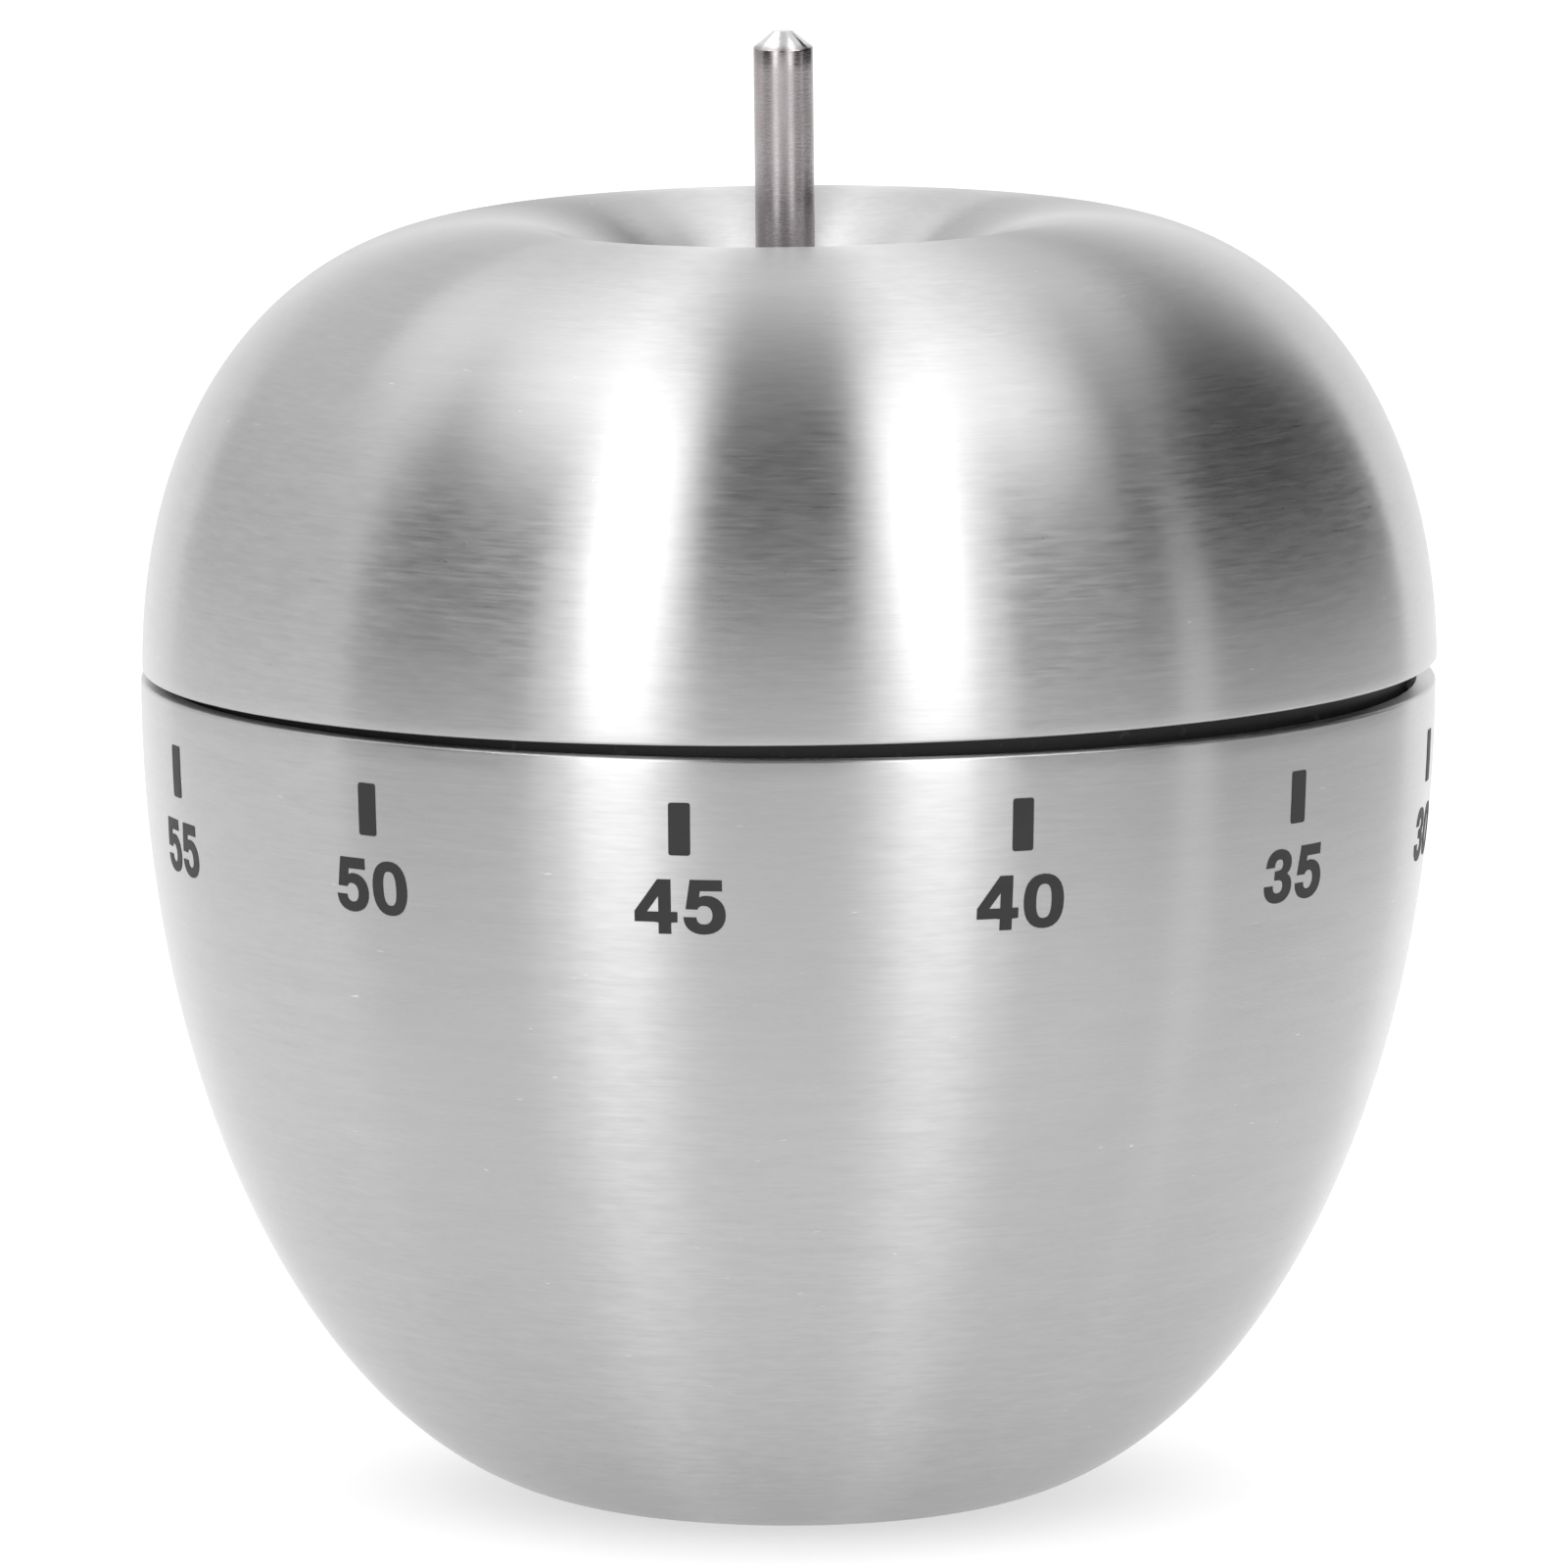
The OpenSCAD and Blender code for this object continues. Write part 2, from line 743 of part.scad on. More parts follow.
// Cup that holds the mainspring
module spring_cup() {
    color(bright_color)
        difference() {
            rod(cup_r, top_top, top_top + cup_h);
            rod(cup_r - cup_t, top_top + cup_t, top_top + cup_h + 1);
            rod(arbor_r + run_clear, top_top - 1, top_top + 1);
            for (a = rivet_angles)
                at(polar(rivet_ring, a))
                    rod(small_screw_r, top_top - 1, top_top + 1);
        }
}

// Rivets that fix the cup to the top plate
module cup_rivets() {
    color(bright_color)
        for (a = rivet_angles)
            at(polar(rivet_ring, a)) {
                rod(small_screw_r, top_z, top_top + cup_t + eps);
                rod(rivet_head_r, top_top + cup_t, top_top + cup_t + rivet_head_h);
            }
}

// Mainspring: flat strip wound in the cup, its outer end against the cup's wall
module mainspring() {
    turns = 5;
    per_turn = 20;
    strip = 0.22;
    coil_gap = 0.6;
    tightening = 0.8;
    lift = 0.5;
    below_brim = 0.4;
    r_out = cup_r - cup_t - strip;
    r_in = arbor_r + 2 * run_clear + coil_gap;
    n = turns * per_turn;
    function spring_r(i) = r_in + (r_out - r_in) * pow(i / n, tightening);
    z = top_top + cup_t + lift;
    h = cup_h - cup_t - lift - below_brim;
    color(spring_color)
        translate([0, 0, z])
            linear_extrude(height = h)
                polygon(concat(
                    [for (i = [0 : n]) polar(spring_r(i), i * 360 / per_turn)],
                    [for (i = [n : -1 : 0]) polar(spring_r(i) + strip, i * 360 / per_turn)]));
}

// ---------------------------------------------------------------- centre arbor

clip_t = 0.5;
clip_gap = 0.2;
clip_z = top_z - clip_gap - clip_t;
clip_groove = 0.4;
clip_lip = 1;
clip_mouth = 1.8;

// Centre arbor: one rod from the bottom plate up into the lid
module centre_arbor() {
    color(bright_color)
        difference() {
            union() {
                rod(arbor_r, low_top + end_play, arbor_top_z);
                rod(low_pivot_r, low_z + pivot_rise, low_top + end_play + eps);
            }
            rod(shank_d / 2 + lean_slack, tap_foot_z, arbor_top_z + 1);
            translate([0, 0, drive_pin_z])
                rotate([0, 90, 0])
                    cylinder(r = drive_pin_r, h = 3 * arbor_d, center = true);
            washer(arbor_r + clip_lip, arbor_r - clip_groove, clip_z, clip_t);
        }
}

// Snap clip in the arbor's groove, under the top plate
module arbor_clip() {
    color(ground_color)
        difference() {
            washer(arbor_r + clip_lip, arbor_r - clip_groove, clip_z, clip_t);
            translate([0, -clip_mouth / 2, clip_z - 1])
                cube([arbor_d, clip_mouth, 2 + clip_t]);
        }
}

// Great wheel, driven by the mainspring
module great_wheel() {
    windows = 5;
    window_in = 2.2 * wide;
    window_out = 7 * wide;
    color(gear_color)
        wheel(great_teeth, main_m, great_phase, great_z, great_t, arbor_r,
            windows, window_in, window_out);
}

clutch_t = 0.4;
collar_lip = 1.2;

// Clutch spring: lets the lid be turned while the train stands still
module clutch_spring() {
    arms = 3;
    arm_w = 1.2;
    arm_out = 2.6;
    color(ground_color)
        translate([0, 0, great_z + great_t])
            difference() {
                union() {
                    cylinder(r = arbor_r + 1, h = clutch_t);
                    for (i = [0 : arms - 1])
                        rotate([0, 0, i * 360 / arms])
                            translate([0, -arm_w / 2, 0])
                                cube([arbor_r + arm_out, arm_w, clutch_t]);
                }
                translate([0, 0, -eps])
                    cylinder(r = arbor_r, h = 1);
            }
}

// Collar that presses on the clutch spring
module clutch_collar() {
    z = great_z + great_t + clutch_t;
    color(gear_color)
        washer(arbor_r + collar_lip, arbor_r, z, clip_z - clip_gap - z);
}

// Alarm cam: round but for one notch, which comes under the trip lever at zero
module alarm_cam() {
    notch_half = 14;
    color(cam_color)
        difference() {
            rod(cam_r, cam_z, cam_z + cam_t);
            rod(arbor_r, cam_z - 1, cam_z + cam_t + 1);
            difference() {
                translate([0, 0, cam_z - 1])
                    linear_extrude(height = cam_t + 2)
                        polygon([
                            [0, 0],
                            polar(2 * cam_r, nose_angle - notch_half),
                            polar(2 * cam_r, nose_angle + notch_half)
                        ]);
                rod(cam_r - notch_depth, cam_z - 2, cam_z + cam_t + 2);
            }
        }
}

// ---------------------------------------------------------------- running train

module second_arbor() {
    color(bright_color)
        at(second_at)
            small_arbor(low_top);
}

module second_pinion() {
    color(ground_color)
        at(second_at)
            pinion(main_pinion_teeth, main_m, second_phase, main_pinion_z, main_pinion_l);
}

module second_wheel() {
    windows = 4;
    window_in = 1.6 * wide;
    window_out = 3.9 * wide;
    color(gear_color)
        at(second_at)
            wheel(second_teeth, fine_m, second_phase, second_z, wheel_t, small_r,
                windows, window_in, window_out);
}

module third_arbor() {
    color(bright_color)
        at(third_at)
            small_arbor(low_top);
}

module third_pinion() {
    color(ground_color)
        at(third_at)
            pinion(fine_pinion_teeth, fine_m, third_phase, third_pinion_z, pinion_l);
}

module third_wheel() {
    windows = 4;
    window_in = 1.3 * wide;
    window_out = 3.3 * wide;
    color(gear_color)
        at(third_at)
            wheel(third_teeth, fine_m, third_phase, third_z, wheel_t, small_r,
                windows, window_in, window_out);
}

module escape_arbor() {
    color(bright_color)
        at(escape_at)
            small_arbor(low_top);
}

module escape_pinion() {
    color(ground_color)
        at(escape_at)
            pinion(fine_pinion_teeth, fine_m, escape_phase, escape_pinion_z, pinion_l);
}

escape_r = escape_d / 2 * wide;
escape_pitch = 360 / escape_teeth;

// Escape wheel with pointed teeth
module escape_wheel() {
    tooth_depth = 1.3;
    tip_w = 0.1;
    root_w = 0.7;
    hole_r = 0.8;
    hole_ring = 2.1;
    root_r = escape_r - tooth_depth * wide;
    color(gear_color)
        at(escape_at)
            translate([0, 0, escape_z])
                rotate([0, 0, escape_pitch / 2])
                    difference() {
                        linear_extrude(height = wheel_t)
                            polygon(pointed_outline(escape_teeth, escape_r, root_r, tip_w, root_w));
                        translate([0, 0, -eps])
                            cylinder(r = small_r, h = 1);
                        for (i = [0 : 3])
                            rotate([0, 0, i * 90])
                                translate([hole_ring * wide, 0, -eps])
                                    cylinder(r = hole_r * wide, h = 1);
                    }
}

// ---------------------------------------------------------------- anchor

pin_span = 28.125;
pin_drop = 0.15;
pin_tail = 0.3;
anchor_arm_r = 1.3;
pin_r = pallet_pin_d / 2;
pin_reach = escape_r + pin_r + pin_drop;
pallet_at = [for (s = [-1, 1]) escape_at + polar(pin_reach, s * pin_span)];

module anchor_arbor() {
    color(bright_color)
        at(anchor_at)
            small_arbor(low_top);
}

// Anchor: flat piece with one arm for each pallet pin
module anchor() {
    color(stamped_color)
        difference() {
            union() {
                for (p = pallet_at)
                    bar(anchor_at, p, anchor_arm_r, anchor_z, anchor_t);
                at(anchor_at)
                    rod(anchor_arm_r, anchor_z, anchor_z + anchor_t);
            }
            at(anchor_at)
                rod(small_r, anchor_z - 1, anchor_z + 2);
            for (p = pallet_at)
                at(p)
                    rod(pin_r, anchor_z - 1, anchor_z + 2);
        }
}

// Pallet pins, pressed into the anchor and hanging between the escape wheel's teeth
module pallet_pins() {
    color(pin_color)
        for (p = pallet_at)
            at(p)
                rod(pin_r, escape_z - pin_tail, anchor_z + anchor_t);
}

// Balance weight that sets the anchor's beat
module balance_weight() {
    color(turned_color)
        at(anchor_at)
            difference() {
                rod(balance_d / 2 * wide, balance_z, balance_z + balance_t);
                rod(small_r, balance_z - 1, balance_z + balance_t + 1);
                for (i = [0 : 1])
                    rotate([0, 0, i * 180])
                        translate([2 * wide, 0, 0])
                            rod(1 * wide, balance_z - 1, balance_z + balance_t + 1);
            }
}

// ---------------------------------------------------------------- alarm

module star_arbor() {
    color(bright_color)
        at(star_at)
            small_arbor(low_top);
}

module star_pinion() {
    color(ground_color)
        at(star_at)
            pinion(main_pinion_teeth, main_m, star_phase, main_pinion_z, main_pinion_l);
}

// Star wheel that kicks the hammer's finger
module star_wheel() {
    star_r = star_d / 2 * wide;
    points = 6;
    root_share = 0.58;
    tip_w = 0.2;
    root_w = 1.1;
    color(stamped_color)
        at(star_at)
            translate([0, 0, star_z])
                difference() {
                    linear_extrude(height = star_t)
                        polygon(pointed_outline(points, star_r, star_r * root_share,
                            tip_w, root_w));
                    translate([0, 0, -eps])
                        cylinder(r = small_r, h = 2);
                }
}

// Hammer arbor: passes down through the bottom plate to the arm
module hammer_arbor() {
    color(bright_color)
        at(hammer_at) {
            rod(small_r, arm_z, top_z - end_play);
            rod(pivot_r, top_z - end_play - eps, top_top);
        }
}

// Hammer arm, under the bottom plate
module hammer_arm() {
    arm_r = 1.8;
    color(stamped_color)
        difference() {
            bar(hammer_at, head_at, arm_r, arm_z, arm_t);
            at(hammer_at)
                rod(small_r, arm_z - 1, arm_z + 2);
            at(head_at)
                rod(small_screw_r, arm_z - 1, arm_z + 2);
        }
}

// Hammer head, riveted under the end of the arm, beside the bell's rim
module hammer_head() {
    head_l = 4;
    color(gear_color)
        at(head_at) {
            rod(hammer_head_d / 2, arm_z - head_l, arm_z);
            rod(small_screw_r, arm_z - eps, arm_z + arm_t);
        }
}

finger_short = 0.5;
finger_hub_r = 1.1;
catch_l = 2.2;
finger_l = norm(star_at - hammer_at) - star_d / 2 * wide - run_clear - finger_short;
finger_dir = (star_at - hammer_at) / norm(star_at - hammer_at);

// Finger the star wheel kicks, pressed on the hammer arbor
module hammer_finger() {
    color(stamped_color)
        difference() {
            union() {
                bar(hammer_at, hammer_at + finger_dir * finger_l, 1, finger_z, finger_t);
                at(hammer_at)
                    rod(finger_hub_r, finger_z, finger_z + finger_t);
            }
            at(hammer_at)
                rod(small_r, finger_z - 1, finger_z + 2);
        }
}

catch_dir = (lever_at - hammer_at) / norm(lever_at - hammer_at);

// Catch that the trip lever holds until the alarm is let off
module hammer_catch() {
    color(stamped_color)
        difference() {
            union() {
                bar(hammer_at, hammer_at + catch_dir * catch_l, 1, lever_z, lever_t);
                at(hammer_at)
                    rod(finger_hub_r, lever_z, lever_z + lever_t);
            }
            at(hammer_at)
                rod(small_r, lever_z - 1, lever_z + 2);
        }
}

post_shoulder_r = 1.4;
post_head = 0.7;
lever_float = 0.05;
lever_hub_r = 1.7;
tail_r = 1.2;

// Post the trip lever swings on, pressed into the bottom plate
module trip_post() {
    color(bright_color)
        at(lever_at) {
            rod(post_r, low_z, lever_z + lever_t + post_head);
            rod(post_shoulder_r, low_top, lever_z - lever_float);
        }
}

// Trip lever: its nose rides on the alarm cam, its tail holds the hammer's catch
module trip_lever() {
    tail = norm(lever_at - hammer_at) - catch_l - finger_hub_r - run_clear;
    color(stamped_color)
        difference() {
            union() {
                strip(lever_at, elbow_at, lever_w, lever_z, lever_t);
                strip(elbow_at, nose_at, lever_w, lever_z, lever_t);
                bar(lever_at, lever_at - catch_dir * tail, tail_r, lever_z, lever_t);
                at(elbow_at)
                    rod(elbow_r, lever_z, lever_z + lever_t);
                at(nose_at)
                    rod(nose_r, lever_z, lever_z + lever_t);
                at(lever_at)
                    rod(lever_hub_r, lever_z, lever_z + lever_t);
            }
            at(lever_at)
                rod(post_r + lever_float, lever_z - 1, lever_z + 2);
        }
}

// Clip that keeps the trip lever on its post
module lever_clip() {
    rim = 0.7;
    gap = 0.1;
    t = 0.4;
    color(ground_color)
        at(lever_at)
            washer(post_r + rim, post_r, lever_z + lever_t + gap, t);
}

leaf_gap = 0.35;
leaf_t = 0.2;
leaf_foot = 2.6;
leaf_foot_t = 0.6;
function side_of(d, s) = s * [-d[1], d[0]];
lever_dir = (elbow_at - lever_at) / norm(elbow_at - lever_at);
hammer_leaf_off = 0.5 + leaf_gap;
leaf_w = 1.6;
hammer_leaf_start = 1.8;
lever_leaf_start = 2.2;
lever_leaf_off = nose_r + leaf_gap;
// Each leaf: where it starts, which way it runs, which side its foot is on
hammer_leaf_from = hammer_at + finger_dir * hammer_leaf_start + side_of(finger_dir, -1) * hammer_leaf_off;
lever_leaf_from = lever_at + lever_dir * lever_leaf_start + side_of(lever_dir, 1) * lever_leaf_off;
leaf_screws = [
    hammer_leaf_from + finger_dir * leaf_foot / 2 + side_of(finger_dir, -1) * leaf_foot / 2,
    lever_leaf_from + lever_dir * leaf_foot / 2 + side_of(lever_dir, 1) * leaf_foot / 2
];

// A standing leaf spring with a foot screwed to the bottom plate
module leaf(from, dir, side, l, z_top) {
    translate([from[0], from[1], low_top])
        rotate([0, 0, atan2(dir[1], dir[0])])
            mirror([0, side < 0 ? 1 : 0, 0])
                difference() {
                    union() {
                        cube([leaf_foot, leaf_t, z_top - low_top]);
                        translate([0, 0, z_top - low_top - leaf_w])
                            cube([l, leaf_t, leaf_w]);
                        cube([leaf_foot, leaf_foot, leaf_foot_t]);
                    }
                    translate([leaf_foot / 2, leaf_foot / 2, -1])
                        cylinder(r = small_screw_r, h = 3);
                }
}

// Leaf that throws the hammer at the bell
module hammer_spring() {
    l = 3.4 * wide;
    over = 0.3;
    color(spring_color)
        leaf(hammer_leaf_from, finger_dir, -1, l, finger_z + finger_t + over);
}

// Leaf that presses the trip lever towards the cam
module lever_spring() {
    l = 6 * wide;
    over = 0.2;
    color(spring_color)
        leaf(lever_leaf_from, lever_dir, 1, l, lever_z + lever_t + over);
}

// Screws for the two leaf springs
module spring_screws() {
    head_r = 0.8;
    head_h = 0.5;
    color(bright_color)
        for (p = leaf_screws)
            at(p) {
                rod(small_screw_r, low_z, low_top + leaf_foot_t + eps);
                rod(head_r, low_top + leaf_foot_t, low_top + leaf_foot_t + head_h);
            }
}

post_flange_r = 4.2;
post_flange_t = 1;
bell_post_r = 2;
bell_screw_tap = 2.4;

// Post the bell hangs from, under the bottom plate
module bell_post() {
    color(turned_color)
        difference() {
            union() {
                rod(post_flange_r, low_z - post_flange_t, low_z);
                rod(bell_post_r, bell_top, low_z);
            }
            for (i = [0, 1])
                at(polar(post_screw_r, i * 180 + 90))
                    rod(small_screw_r, low_z - 3, low_z + 1);
            rod(bell_screw_r, bell_top - 1, bell_top + bell_screw_tap);
        }
}

bell_screw_r = 0.8;
bell_washer_t = 0.4;

// Screws that fix the bell's post to the bottom plate
module post_screws() {
    head_r = 0.7;
    head_h = 0.5;
    color(bright_color)
        for (i = [0, 1])
            at(polar(post_screw_r, i * 180 + 90)) {
                rod(small_screw_r, low_z - post_flange_t, low_top);
                rod(head_r, low_z - post_flange_t - head_h, low_z - post_flange_t);
            }
}

// Bell: shallow spun cup, mouth down, with a rounded shoulder
module bell() {
    r = bell_d / 2 * wide;
    bend = 2.4;
    steps = 8;
    function shoulder(by) = [for (i = [0 : steps])
        [r - bend, bell_top - bend] + polar(bend - by, i * 90 / steps)];
    color(bell_color)
        rotate_extrude()
            polygon(concat(
                [[r - bell_t, bell_z], [r, bell_z]],
                shoulder(0),
                [[bell_screw_r, bell_top], [bell_screw_r, bell_top - bell_t]],
                [for (i = [steps : -1 : 0]) shoulder(bell_t)[i]]));
}

// Washer under the bell
module bell_washer() {
    washer_r = 2.6;
    color(ground_color)
        washer(washer_r, bell_screw_r, bell_top - bell_t - bell_washer_t, bell_washer_t);
}

// Screw that holds the bell on its post
module bell_screw() {
    head_r = 1.8;
    head_h = 1;
    slot_w = 0.5;
    bite = 2.2;
    z = bell_top - bell_t - bell_washer_t;
    color(bright_color) {
        difference() {
            rod(head_r, z - head_h, z);
            translate([-2 * head_r, -slot_w / 2, z - 3 * head_h / 2])
                cube([4 * head_r, slot_w, head_h]);
        }
        rod(bell_screw_r, z - eps, bell_top + bite);
    }
}

lower_shell();
upper_shell();
stem();
stem_washer();
lid_carrier();
stop_peg();
drive_pin();
movement_cover();
bottom_plate();
top_plate();
pillars();
plate_screws();
standoffs();
cover_screws();
arbor_bushes();
spring_cup();
cup_rivets();
mainspring();
centre_arbor();
arbor_clip();
great_wheel();
clutch_spring();
clutch_collar();
alarm_cam();
second_arbor();
second_pinion();
second_wheel();
third_arbor();
third_pinion();
third_wheel();
escape_arbor();
escape_pinion();
escape_wheel();
anchor_arbor();
anchor();
pallet_pins();
balance_weight();
star_arbor();
star_pinion();
star_wheel();
hammer_arbor();
hammer_arm();
hammer_head();
hammer_finger();
hammer_catch();
trip_post();
trip_lever();
lever_clip();
hammer_spring();
lever_spring();
spring_screws();
bell_post();
post_screws();
bell();
bell_washer();
bell_screw();
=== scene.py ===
"""The looks of a kitchen timer: an apple of brushed steel over a clockwork."""

import json
import math

import bmesh
import bpy
from bpy.props import (
    FloatProperty,
    FloatVectorProperty,
    IntProperty,
    PointerProperty,
)
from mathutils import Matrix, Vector


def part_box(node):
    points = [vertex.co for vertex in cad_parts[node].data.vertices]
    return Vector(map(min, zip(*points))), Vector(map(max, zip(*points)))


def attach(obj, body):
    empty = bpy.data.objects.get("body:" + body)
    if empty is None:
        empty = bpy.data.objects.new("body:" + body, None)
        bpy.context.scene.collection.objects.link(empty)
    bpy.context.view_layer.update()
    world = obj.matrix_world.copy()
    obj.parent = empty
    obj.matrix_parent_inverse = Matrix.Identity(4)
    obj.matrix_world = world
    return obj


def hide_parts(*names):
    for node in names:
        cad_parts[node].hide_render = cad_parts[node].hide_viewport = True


bl_info = {
    "name": "Kitchen timer",
    "version": (1, 0, 0),
    "blender": (4, 5, 0),
    "location": "3D View > Sidebar > Timer",
    "description": "Shells, stem, scale and finishes of a clockwork kitchen timer",
    "category": "Object",
}

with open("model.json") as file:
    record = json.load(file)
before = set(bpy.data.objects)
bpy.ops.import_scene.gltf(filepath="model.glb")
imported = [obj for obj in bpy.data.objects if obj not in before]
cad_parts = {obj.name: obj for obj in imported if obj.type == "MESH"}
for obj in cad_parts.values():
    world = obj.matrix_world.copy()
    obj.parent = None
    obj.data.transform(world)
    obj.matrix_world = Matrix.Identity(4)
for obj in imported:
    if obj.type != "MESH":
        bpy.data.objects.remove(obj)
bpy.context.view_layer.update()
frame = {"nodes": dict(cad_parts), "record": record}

BOWL_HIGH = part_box("lower_shell")[1]
STEM_LOW, STEM_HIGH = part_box("stem")
MM = 0.001
MINUTES = 60
MINUTE_STEP = 5
MIDDLE = (0.0, 0.0, 0.0)
WHITE = (1.0, 1.0, 1.0, 1.0)


# Directions in a (radius, height) outline.
INWARD, OUTWARD = Vector((-1, 0)), Vector((1, 0))
DOWN, UP = Vector((0, -1)), Vector((0, 1))

# How finely the shapes are cut.
OUTSIDE_STEPS = 64
INSIDE_STEPS = 40
DIMPLE_STEPS = 32
DIMPLE_UNDER_STEPS = 24
STEM_AROUND = 48
STEM_RINGS = 12
TICK_COLUMNS = 5
TICK_ROWS = 10
TICK_CORNER_STEPS = 4
FIGURE_CURVE_STEPS = 7
FIGURE_COLUMN = 0.12 * MM
FIGURE_COLUMNS_LEAST = 6
FIGURE_ROWS = 8

# Sizes that no slider sets.
STEM_SEAT = 0.4 * MM  # thickness of the washer that the stem stands on
STEM_BREAK = 0.06 * MM  # width of the broken edge under the stem's bevel
PRINT_STANDOFF = 2 * MM  # how far in front of a shell a print is laid out
WELD = 0.001 * MM
PRINT_WELD = 0.002 * MM
OUTLINE_WELD = 0.0005  # in figure heights
SAME_HEIGHT = 0.01 * MM
BOX_SLACK = 0.15 * MM

# Angles, in degrees, over which an edge stays sharp.
SHEET_CREASE = 35.0
INK_CREASE = 30.0
STEM_CREASE = 25.0


# ---- sizes and colours


def length(name, description, default, low=0.0):
    """A size in metres."""
    return FloatProperty(
        name=name,
        description=description,
        default=default,
        min=low,
        precision=5,
        subtype="DISTANCE",
        unit="LENGTH",
    )


def mm(name, description, default):
    """A size, given in millimetres."""
    return length(name, description, default * MM)


def angle(name, description, degrees):
    """An angle, given in degrees."""
    return FloatProperty(
        name=name,
        description=description,
        default=math.radians(degrees),
        subtype="ANGLE",
        unit="ROTATION",
    )


def share(name, description, default, high=1.0):
    """A number with no unit."""
    return FloatProperty(
        name=name, description=description, default=default, min=0.0, max=high
    )


def colour(name, description, default):
    """A colour in linear light."""
    return FloatVectorProperty(
        name=name,
        description=description,
        default=default,
        size=3,
        min=0.0,
        max=1.0,
        subtype="COLOR",
    )


class TimerBody(bpy.types.PropertyGroup):
    """Sizes of the two spun shells."""

    radius: length("Body radius", "Radius of bowl and lid at the gap", BOWL_HIGH.x)
    bowl_height: length("Bowl height", "From the base to the bowl's rim", BOWL_HIGH.z)
    gap: mm("Gap", "Space between the bowl's rim and the lid's", 0.65)
    crest_height: mm("Crest height", "From the base to the lid's crest", 59.65)
    base_radius: mm("Base radius", "Radius of the flat underneath", 8.5)
    bowl_fullness: mm("Bowl fullness", "How far the wall runs straight down", 22.3)
    bottom_fullness: mm("Bottom fullness", "How far the bottom runs straight out", 11.3)
    lid_fullness: mm("Lid fullness", "How far the lid's wall runs straight up", 12.1)
    crest_fullness: mm("Crest fullness", "How far the crest runs straight out", 9.9)
    crest_radius: mm("Crest radius", "Radius of the highest ring of the lid", 13.5)
    dimple_depth: mm("Dimple depth", "From the crest to the dimple's floor", 5.0)
    dimple_run: mm("Dimple run", "How far the crest curls in first", 5.6)
    dimple_floor: mm("Dimple floor", "Radius of the dimple's floor", 3.5)
    dimple_foot: mm("Dimple foot", "How softly the dimple meets its floor", 3.2)
    hole_radius: mm("Stem hole", "Radius of the hole under the stem", 0.9)
    wall: mm("Sheet", "Thickness of the steel sheet", 0.6)
    rim_wall: mm("Rim", "Thickness of the sheet at the rims", 0.9)
    rim_round: mm("Rim rounding", "Radius rolled on the rims' outer edges", 0.14)
    lean: angle("Lid lean", "How far the lid leans on its arbor", 0.6)
    lean_height: mm("Lean height", "Height the lid leans about", 45.05)
    around: IntProperty(
        name="Around", description="Facets round a shell", default=192, min=48, max=384
    )


class TimerStem(bpy.types.PropertyGroup):
    """Sizes of the turned stem."""

    radius: mm("Stem radius", "Radius of the rod above the washer", 1.375)
    tip_radius: mm("Tip radius", "Radius of the flat left at the tip", 0.45)
    bevel: mm("Bevel", "Height of the bevel at the tip", 0.75)
    shank_radius: mm("Shank radius", "Radius of the shank in the lid", 0.75)
    edge: mm("Edge", "Rounding of the shoulder at the foot", 0.08)
    slant: angle("Slant", "How far the bevel's lower edge slants to the front", 4.0)


class TimerScale(bpy.types.PropertyGroup):
    """Places and sizes of the printed minute scale."""

    zero_at: angle("Zero at", "Where minute 0 stands, from the front towards +X", -99.4)
    tick_top: mm("Tick top", "Height of the marks' upper end", 36.45)
    tick_length: mm("Tick length", "Length of each mark", 2.4)
    tick_width: mm("Tick width", "Width of each mark", 1.0)
    tick_corner: mm("Tick corner", "Rounding of the marks' corners", 0.12)
    figure_top: mm("Figure top", "Height of the figures' upper edge", 32.9)
    figure_height: mm("Figure height", "Height of the figures", 2.4)
    figure_weight: mm("Figure weight", "How far the outlines are fattened", 0.05)
    ink_proud: mm("Ink proud", "How far the ink stands off the steel", 0.02)
    ink_thick: mm("Ink thickness", "Thickness of the ink layer", 0.03)
    lid_mark_top: mm("Lid mark top", "Height of the lid mark's upper end", 44.0)


class TimerFinish(bpy.types.PropertyGroup):
    """Colours and gloss of what shows."""

    steel: colour("Brushed steel", "Colour of the spun shells", (0.485, 0.485, 0.489))
    steel_rough: share("Brushing", "Roughness of the spun shells", 0.32)
    steel_grain: share("Grain", "How strongly the brushing shows", 0.5)
    stem: colour("Stem steel", "Colour of the turned stem", (0.37, 0.345, 0.35))
    ink: colour("Ink", "Colour of the minute scale", (0.021, 0.021, 0.0215))


class TimerStudio(bpy.types.PropertyGroup):
    """Camera, floor and lights."""

    distance: length("Camera distance", "From the camera to what it looks at", 0.81)
    elevation: angle("Camera elevation", "How far the camera looks down", 7.87)
    aim_x: length("Aim across", "Sideways place of what it looks at", -0.000195, -1.0)
    aim_z: length("Aim height", "Height of what it looks at", 0.03321)
    lens: share("Lens", "Focal length in millimetres", 400.7, 1000.0)
    sky: share("Sky", "Brightness of the white surroundings", 1.0, 10.0)
    lamps: share("Lamps", "Brightness of all the lamps", 1.0, 10.0)
    floor: colour("Floor", "Colour of the floor", (0.5, 0.5, 0.5))
    floor_glow: share("Floor glow", "Light that comes up through the floor", 0.55)


def settings():
    """The scene's four groups of sizes and colours."""
    scene = bpy.context.scene
    return scene.timer_body, scene.timer_stem, scene.timer_scale, scene.timer_finish


# ---- modelling by hand


